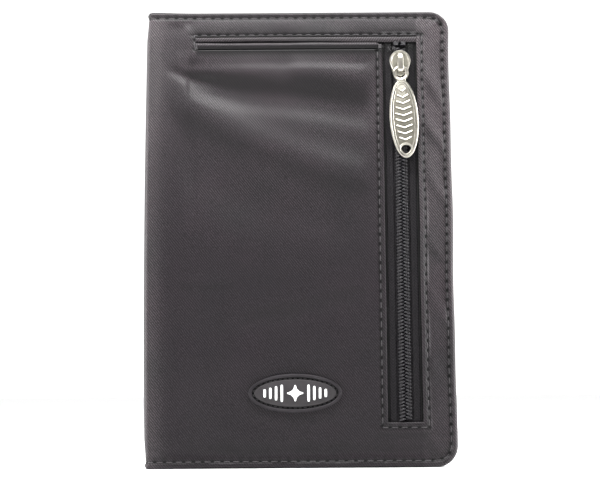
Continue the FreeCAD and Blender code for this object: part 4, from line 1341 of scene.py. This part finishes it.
def make_coil(word, way):
    """Half of the zip's coil: a flattened spiral sewn to its tape, meshing with the other half."""
    low, high = box_mm(f"zip_coil_{word}")
    outer = low[0] if way < 0 else high[0]
    wire, half_width = 0.32, 1.14
    start = low[2] + 0.2 + (COIL_PITCH / 2 if way > 0 else 0)
    turns = int((high[2] - start) / COIL_PITCH)
    angle = np.linspace(0, 2 * math.pi * turns, turns * 14 + 1)
    side, face = np.cos(angle), np.sin(angle)
    x = outer - way * (half_width - (half_width - wire) * side)
    y = (low[1] + high[1]) / 2 - 0.45 * face - 0.06 * np.abs(side)
    z = start + COIL_PITCH * angle / (2 * math.pi) - 0.14 * side * face ** 2
    pile = Pile()
    pile.add(*tube(np.stack([x, y, z], 1), wire, 6))
    coil = pile.build(f"zip_coil_{word}_spiral", COIL, 80)
    dress(coil, "zip_coil", "front_cover", f"zip_coil_{word}")

    sewing = Pile()
    steps = np.arange(turns * 6)
    phase = 2 * math.pi * steps / 6
    y = low[1] - 0.02 + 0.10 * (1 - np.cos(phase - 1.2))
    z = start + COIL_PITCH * steps / 6
    for inset in (0.55, 1.05):
        x = outer - way * inset + 0.09 * np.sin(phase)
        sewing.add(*tube(np.stack([x, y, z], 1), 0.07, 5))
    made = sewing.build(f"zip_coil_{word}_sewing", COIL_THREAD, 80)
    dress(made, "thread", "front_cover")


def make_top_stops():
    """Two moulded ribs above each half of the coil."""
    pile = Pile()
    low, high = box_mm("zip_top_stops")
    profile = [(0.3, low[1] + 0.22), (0.12, low[1] + 0.28), (0, low[1] + 0.55), (0, high[1] - 0.1),
               (0.2, high[1])]
    for x_low, x_high in ((low[0], ZIP_X - 0.3), (ZIP_X + 0.3, high[0])):
        for share in (0.25, 0.75):
            z = low[2] + share * (high[2] - low[2])
            ring = square_ring((x_low + x_high) / 2, z, (x_high - x_low) / 2, 0.34)
            pile.add(*turned(ring, profile))
    dress(pile.build("zip_top_stop_blocks", COIL, 40), "zip_coil", "front_cover", "zip_top_stops")


def make_frays():
    """Loose thread ends at the tape's cut end, left of the stops."""
    pile = Pile()
    t = np.linspace(0, 1, 6)[:, None]
    for number in range(9):
        lean = math.sin(number * 2.7)
        base = np.array([WINDOW_LEFT + 1.7 + 0.28 * number, FRONT_Y + 0.85,
                         LIP_HIGH[2] - 1.5 - 0.15 * lean])
        drift = np.array([0.5 * lean, -0.35, -1.3 - 0.4 * math.cos(number * 1.9)])
        curl = np.array([0.25 * math.cos(number), -0.2, 0.0]) * np.sin(t * math.pi)
        pile.add(*tube(base + drift * t + curl, 0.06, 5))
    dress(pile.build("zip_tape_frays", THREAD, 80), "thread", "front_cover")


def make_zip():
    """Both tapes and coil halves, the top stops and the frayed end."""
    halves = (("left", -1), ("right", 1))
    for word, way in halves:
        make_tape(word, way)
    for word, way in halves:
        make_coil(word, way)
    make_top_stops()
    make_frays()


def make_bags():
    """The two pocket bags inside the front cover, behind the back of the zip."""
    behind_zip = 2.35
    for node, name in (("slot_pocket_bag", "slot_bag_cloth"), ("zip_pocket_bag", "zip_bag_cloth")):
        bag = make_slab(name, FRONT, sides_of(node), max(inner_layer(node, FRONT), behind_zip),
                        BAG_THICKNESS, POCKET, "pocket_cloth", "front_cover", step=3.0,
                        relief=lambda s, z: 0.03 * np.sin(s / 8 + z / 11))
        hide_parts(node)


# ---------------------------------------------------------------- turned shapes of metal and rubber

def turned(outline, profile, closed=False):
    """Rings of an outline in x and z. The profile lists (inset, y); closed joins its two ends."""
    rings = []
    for inset, y in profile:
        ring = outline(inset)
        rings.append(np.stack([ring[:, 0], np.full(len(ring), float(y)), ring[:, 1]], 1))
    sides = len(rings[0])
    if closed:
        rings.append(rings[0])
    points = np.vstack(rings)
    return points, tube_faces(len(rings), sides, not closed), points[:, [0, 2]]


def turn_angles(count):
    """Even angles round one turn."""
    return np.linspace(0, 2 * math.pi, count, endpoint=False)


def squared(wave, power):
    """A sine or cosine bent towards a square wave."""
    return np.sign(wave) * np.abs(wave) ** power


def ellipse_ring(x, z, half_width, half_height, count=96, power=1.0):
    """An ellipse that shrinks by the inset; a power below 1 makes its sides flatter."""
    angle = turn_angles(count)

    def outline(inset):
        return np.stack([x + (half_width - inset) * squared(np.cos(angle), power),
                         z + (half_height - inset) * squared(np.sin(angle), power)], 1)
    return outline


def square_ring(x, z, half_width, half_height):
    """A rectangle with rounded corners that shrinks by the inset."""
    return ellipse_ring(x, z, half_width, half_height, 40, 0.4)


def star_ring(x, z, reach, waist):
    """A four-pointed star with cut tips."""
    corners = [((waist if number % 2 else reach) * np.array([math.cos(way), math.sin(way)]))
               for number, way in enumerate(turn_angles(8))]
    base = smooth_loop(corners, 1)
    return lambda inset: np.array([x, z]) + base * (1 - inset)


def teardrop_ring(x, top, bottom, half_width, count=72):
    """The slider's outline: round at the top, widest below it, and narrow at the bottom."""
    widest = top - 0.40 * (top - bottom)
    angle = turn_angles(count)

    def outline(inset):
        share = 1 - inset / half_width
        rise = np.where(np.sin(angle) > 0, top - widest, widest - bottom)
        narrow = np.where(np.sin(angle) > 0, 1.0, 1 - 0.34 * np.abs(np.sin(angle)) ** 1.5)
        return np.stack([x + half_width * share * np.cos(angle) * narrow,
                         widest + rise * share * np.sin(angle)], 1)
    return outline


def strap(path, width, thickness):
    """A rounded strap along a path of (x, y, z) points that runs in a plane of constant x."""
    path = np.asarray(path, float)
    way = np.gradient(path, axis=0)
    way /= np.linalg.norm(way, axis=1)[:, None]
    normal = np.cross(way, [1.0, 0.0, 0.0])
    angle = turn_angles(20)
    across = squared(np.cos(angle), 0.55)[None, :, None] * width / 2
    out = squared(np.sin(angle), 0.7)[None, :, None] * thickness / 2
    points = (path[:, None] + across * np.array([1.0, 0, 0]) + out * normal[:, None]).reshape(-1, 3)
    return points, tube_faces(len(path), len(angle)), points[:, [0, 2]]


def bead(outline, y, radius):
    """A round bead along a closed outline at that y."""
    ring = np.stack([outline[:, 0], np.full(len(outline), float(y)), outline[:, 1]], 1)
    return tube(ring, radius, 10, closed=True)


def smooth_path(corners, steps=3):
    """An open path through rounded corners, by Chaikin's cuts."""
    path = np.array(corners, float)
    for _ in range(steps):
        cut = np.stack([path[:-1] * 0.75 + path[1:] * 0.25, path[:-1] * 0.25 + path[1:] * 0.75], 1)
        path = np.vstack([path[:1], cut.reshape(-1, path.shape[1]), path[-1:]])
    return path


def make_slider():
    """Crown and back plates with flanges, joined by a neck, with an arched bridge for the pull."""
    low, high = box_mm("zip_slider")
    top, bottom = high[2], low[2]
    half = (high[0] - low[0]) / 2
    middle = (high[0] + low[0]) / 2
    crown_front, crown_back = low[1] + 1.83, low[1] + 2.8
    back = high[1] - 0.05
    bridge_front = low[1] + 0.35
    pile = Pile()
    crown_rise = [(2.9, 0.34), (1.6, 0.40), (0.95, 0.38), (0.72, 0.10), (0.5, 0.0), (0.25, 0.05),
                  (0.05, 0.28), (0, 0.5)]
    crown = [(inset, crown_front + depth) for inset, depth in crown_rise]
    crown += [(0, crown_back - 0.15), (0.12, crown_back), (2.9, crown_back)]
    pile.add(*turned(teardrop_ring(middle, top, bottom, half), crown))
    back_plate = [(2.9, back - 0.50), (0.3, back - 0.50), (0.05, back - 0.38), (0, back - 0.2),
                  (0.1, back - 0.05), (0.35, back), (2.9, back)]
    pile.add(*turned(teardrop_ring(middle, top, bottom, half - 0.1), back_plate))
    neck = square_ring(middle, top - 1.6, 0.28, 0.75)
    pile.add(*turned(neck, [(0, crown_back - 0.45), (0, back - 0.3)]))
    for way in (-1, 1):
        x = middle + way * (half - 0.55)
        flange = [(x, -2.6, top - 4.2), (x - way * 0.25, -2.6, top - 5.6),
                  (x - way * 0.75, -2.6, bottom + 1.2)]
        pile.add(*strap(smooth_path(flange), width=0.55, thickness=1.5))
    bridge = [(crown_back, top - 1.0), (bridge_front + 1.0, top - 1.15),
              (bridge_front + 0.1, top - 2.6), (bridge_front, top - 4.4),
              (bridge_front, bottom + 2.9), (bridge_front + 0.1, bottom + 1.95),
              (bridge_front + 1.2, bottom + 1.45), (crown_back, bottom + 1.4)]
    path = smooth_path([(middle, y, z) for y, z in bridge])
    pile.add(*strap(path, width=1.9, thickness=0.62))
    for way in (-1, 1):
        pile.add(*tube(path + np.array([way * 0.62, -0.12, 0]), 0.24, 8))

    def recess(points):
        """The sunken face of the crown, round the bridge, where shade is painted."""
        return bump(points[:, 1] - crown_front - 0.38, 0.12) * (points[:, 2] > bottom + 0.6)

    slider = pile.build("slider_metal", NICKEL, 35, {"recess": recess})
    dress(slider, "nickel", "zip_slider", "zip_slider")


def plate_rays(plate_z, half_wide, half_long, hole_z, hole_radius):
    """Matching points of an ellipse and of a round hole in it, on rays from the hole's centre."""
    even = turn_angles(72)
    rim_x = half_wide * np.cos(turn_angles(90) + 0.01)
    rim_z = plate_z + half_long * np.sin(turn_angles(90) + 0.01) - hole_z
    angle = np.sort(np.concatenate([even, np.arctan2(rim_z, rim_x) % (2 * math.pi)]))
    way = np.stack([np.cos(angle), np.sin(angle)], 1)
    offset = hole_z - plate_z
    a = (way[:, 0] / half_wide) ** 2 + (way[:, 1] / half_long) ** 2
    b = 2 * offset * way[:, 1] / half_long ** 2
    c = (offset / half_long) ** 2 - 1
    reach = (-b + np.sqrt(b * b - 4 * a * c)) / (2 * a)
    centre = np.array([0.0, hole_z])
    return centre + way * reach[:, None], centre + way * hole_radius


def pull_ring(ring_z):
    """The eye that goes round the slider's bridge, as a round bead, and the neck below it."""
    section = [(0, 0), (0.1, -0.33), (0.42, -0.5), (0.85, -0.42), (1.12, -0.15), (1.18, 0),
               (1.12, 0.3), (0.85, 0.48), (0.42, 0.5), (0.1, 0.33)]
    neck = [(0, 0, ring_z - drop) for drop in (1.9, 2.8, 4.0)]
    eye_radius = 2.65
    yield turned(ellipse_ring(0, ring_z, eye_radius, eye_radius), section, closed=True)
    yield strap(smooth_path(neck), width=3.0, thickness=0.86)


def make_pull():
    """The pull: a ring round the bridge, a neck, and a long plate with rims, chevrons and a hole."""
    pivot = np.array(PULL_JOINT["pos_m"]) / MM
    tilt = math.atan(PULL_JOINT["axis"][2] / PULL_JOINT["axis"][0])
    ring_z, plate_z, hole_z = -2.05, -17.6, -28.15
    half_long, half_wide = 13.25, 4.8
    front, back = -0.30, 0.42
    pile = Pile()
    for shape in pull_ring(ring_z):
        pile.add(*shape)

    hole_radius, hole_rim_radius = 1.75, 2.12
    outer, hole = plate_rays(plate_z, half_wide, half_long, hole_z, hole_radius)
    plate = [(0, 0.05), (0.004, front + 0.12), (0.02, front), (0.5, front), (0.97, front),
             (1, front + 0.2), (1, back - 0.1), (0.97, back), (0.5, back), (0.02, back),
             (0.004, back - 0.12)]
    pile.add(*turned(lambda share: outer + (hole - outer) * share, plate, closed=True))
    rims = ellipse_ring(0, plate_z, half_wide, half_long, 160)
    hole_rim = ellipse_ring(0, hole_z, hole_rim_radius, hole_rim_radius, 64)
    for outline, radius in ((rims(0.38), 0.36), (rims(1.20), 0.27), (hole_rim(0), 0.36)):
        pile.add(*bead(outline, front - 0.02, radius))

    chevron_pitch = 2.05
    for number in range(9):
        z = plate_z + half_long - 3.6 - number * chevron_pitch
        reach = half_wide * math.sqrt(max(0, 1 - ((z - plate_z) / half_long) ** 2)) - 2.1
        for way in (-1, 1):
            arm = [(0, front, z - 0.45), (way * reach / 2, front, z), (way * reach, front, z + 0.45)]
            pile.add(*tube(arm, 0.3, 8))

    points = np.vstack(pile.points)
    x, y, z = points.T
    c, s = math.cos(tilt), math.sin(tilt)
    placed = np.stack([x * c - z * s, y, x * s + z * c], 1) + pivot
    # Painted shade on the plate's sunken field.
    recess = bump(y - front, 0.10) * (z < plate_z + half_long - 1.0)
    pull = make_object("pull_metal", placed, pile.faces, np.vstack(pile.uv), NICKEL, 35,
                       {"recess": recess}, solid=True)
    dress(pull, "nickel", "zip_pull", "zip_pull")


def make_badge():
    """An oval rubber badge: rounded rim, stitched groove, raised field and a white motif."""
    x, _, z = (BADGE_LOW + BADGE_HIGH) / 2
    half_wide, _, half_high = (BADGE_HIGH - BADGE_LOW) / 2
    front = BADGE_LOW[1]
    seat = FRONT_Y + 0.75
    groove_inset, field_inset = 1.52, 1.85

    def add_ring(name, material, inset, depths, marks, *replaced):
        pile = Pile()
        ring = ellipse_ring(x, z, half_wide - inset, half_high - inset, 144)
        pile.add(*turned(ring, [(step, front + depth) for step, depth in depths]))
        dress(pile.build(name, material, 45, marks), "badge_rubber", "front_cover", *replaced)

    bottom = seat - front
    rim = [(0, bottom), (0, 0.38), (0.08, 0.18), (0.28, 0.04), (0.55, 0), (0.85, 0.05), (1.08, 0.2),
           (1.16, 0.62), (1.85, 0.64), (2.0, 0.66), (2.0, bottom)]
    # The rim's groove and sides get painted shade.
    recess = {"recess": lambda points: smooth((points[:, 1] - front - 0.15) / 0.3)}
    add_ring("badge_rim", RUBBER, 0, rim, recess, "badge_body")
    field = [(0, 0.66), (0, 0.32), (0.1, 0.22), (0.35, 0.17), (1.2, 0.14), (3.2, 0.12)]
    add_ring("badge_field", FIELD, field_inset, field, None)

    angle = np.linspace(0, 2 * math.pi, 240)
    groove = np.stack([s_at(x) + (half_wide - groove_inset) * np.cos(angle),
                       z + (half_high - groove_inset) * np.sin(angle)], 1)

    def groove_floor(s, height, dip):
        return front_point(s - S_PANEL + FRONT_LOW[0], height, front + 0.58 - FRONT_Y + dip)

    stitches("badge_stitches", groove, groove_floor, "front_cover", "badge_stitching",
             material=COIL_THREAD, pitch=1.6, radius=0.13)
    make_emblem(x, z, front)


def make_emblem(x, z, front):
    """A generic motif: a four-pointed star between tapering bars."""
    low, high = box_mm("badge_emblem")
    half_high = (high[2] - low[2]) / 2
    profile = [(0, front + 0.2), (0, front - 0.12), (0.04, front - 0.18), (0.10, front - 0.2)]
    pile = Pile()
    pile.add(*turned(star_ring(x, z, half_high, half_high * 0.34), profile))
    for way in (-1, 1):
        for number in range(4):
            bar_x = x + way * (4.35 + 1.85 * number)
            bar_high = half_high * (0.86 - 0.15 * number)
            pile.add(*turned(square_ring(bar_x, z, 0.42, bar_high), profile))
    dress(pile.build("badge_motif", WHITE, 40), "emblem_white", "front_cover", "badge_emblem")


make_slot()
make_cover(FRONT)
make_cover(BACK)
make_inside()
make_bags()
make_zip()
make_slider()
make_pull()
make_badge()


# ---------------------------------------------------------------- stage, light and camera

def aim(thing, target):
    """Turns a light or camera towards a point."""
    way = Vector(target) - thing.location
    thing.rotation_mode = "QUATERNION"
    thing.rotation_quaternion = way.to_track_quat("-Z", "Y")


def make_stage():
    """A pale floor."""
    half = 3.0
    mesh = bpy.data.meshes.new("stage_floor")
    mesh.from_pydata([(-half, -half, 0), (half, -half, 0), (half, half, 0), (-half, half, 0)],
                     [], [(0, 1, 2, 3)])
    mesh.materials.append(make_stage_white())
    floor = bpy.data.objects.new("stage_floor", mesh)
    bpy.context.scene.collection.objects.link(floor)


def make_light(name, location, target, size, power):
    """A soft rectangular light, in metres and watts."""
    data = bpy.data.lights.new(name, "AREA")
    data.shape = "RECTANGLE"
    data.size, data.size_y = size
    data.energy = power
    light = bpy.data.objects.new(name, data)
    bpy.context.scene.collection.objects.link(light)
    light.location = location
    aim(light, target)


def make_world():
    """A studio tent that looks white all round, but gives little light from the viewer's side."""
    world = bpy.data.worlds.new("studio")
    bpy.context.scene.world = world
    world.use_nodes = True
    nodes, links = world.node_tree.nodes, world.node_tree.links
    way = nodes.new("ShaderNodeSeparateXYZ")
    links.new(nodes.new("ShaderNodeTexCoord").outputs["Generated"], way.inputs[0])

    def light_from(axis, start, full, dark, bright):
        ramp = nodes.new("ShaderNodeMapRange")
        ramp.interpolation_type = "SMOOTHSTEP"
        limits = {"From Min": start, "From Max": full, "To Min": dark, "To Max": bright}
        for name, limit in limits.items():
            ramp.inputs[name].default_value = limit
        links.new(way.outputs[axis], ramp.inputs["Value"])
        return ramp.outputs[0]

    def brighter(first, second):
        larger = nodes.new("ShaderNodeMath")
        larger.operation = "MAXIMUM"
        links.new(first, larger.inputs[0])
        links.new(second, larger.inputs[1])
        return larger.outputs[0]

    behind = light_from("Y", -0.10, 0.35, 0.0, 1.3)
    above = light_from("Z", 0.35, 0.95, 0.16, 1.0)
    seen = nodes.new("ShaderNodeLightPath").outputs["Is Camera Ray"]
    links.new(brighter(brighter(behind, above), seen), nodes["Background"].inputs["Strength"])
    nodes["Background"].inputs["Color"].default_value = (1, 1, 1, 1)


def make_lights():
    """A low key light above the front, a wash behind, and a strip at each side."""
    make_world()
    make_light("key_above_front", (-0.02, -0.125, 0.305), (0, 0, 0.11), size=(0.26, 0.06), power=1.6)
    make_light("floor_wash", (0, 0.35, 0.60), (0, 0.15, 0), size=(0.9, 0.5), power=9)
    for name, way in (("side_left", -1), ("side_right", 1)):
        make_light(name, (way * 0.42, -0.035, 0.13), (0, 0, 0.08), size=(0.12, 0.30), power=2.6)


def make_camera():
    """The camera at the photograph's viewing angle: low in front, looking up a little."""
    data = bpy.data.cameras.new("camera")
    data.sensor_width = 36
    data.lens = 73.3
    data.clip_start, data.clip_end = 0.01, 20
    camera = bpy.data.objects.new("camera", data)
    bpy.context.scene.collection.objects.link(camera)
    camera.location = (-0.0006, -0.4022, 0.0262)
    aim(camera, (0.0003, FRONT_Y * MM, 0.0742))
    lean = Quaternion((0, 0, 1), math.radians(-0.4))
    camera.rotation_quaternion = camera.rotation_quaternion @ lean
    bpy.context.scene.camera = camera


make_stage()
make_lights()
make_camera()
bpy.context.scene.view_settings.view_transform = "Standard"
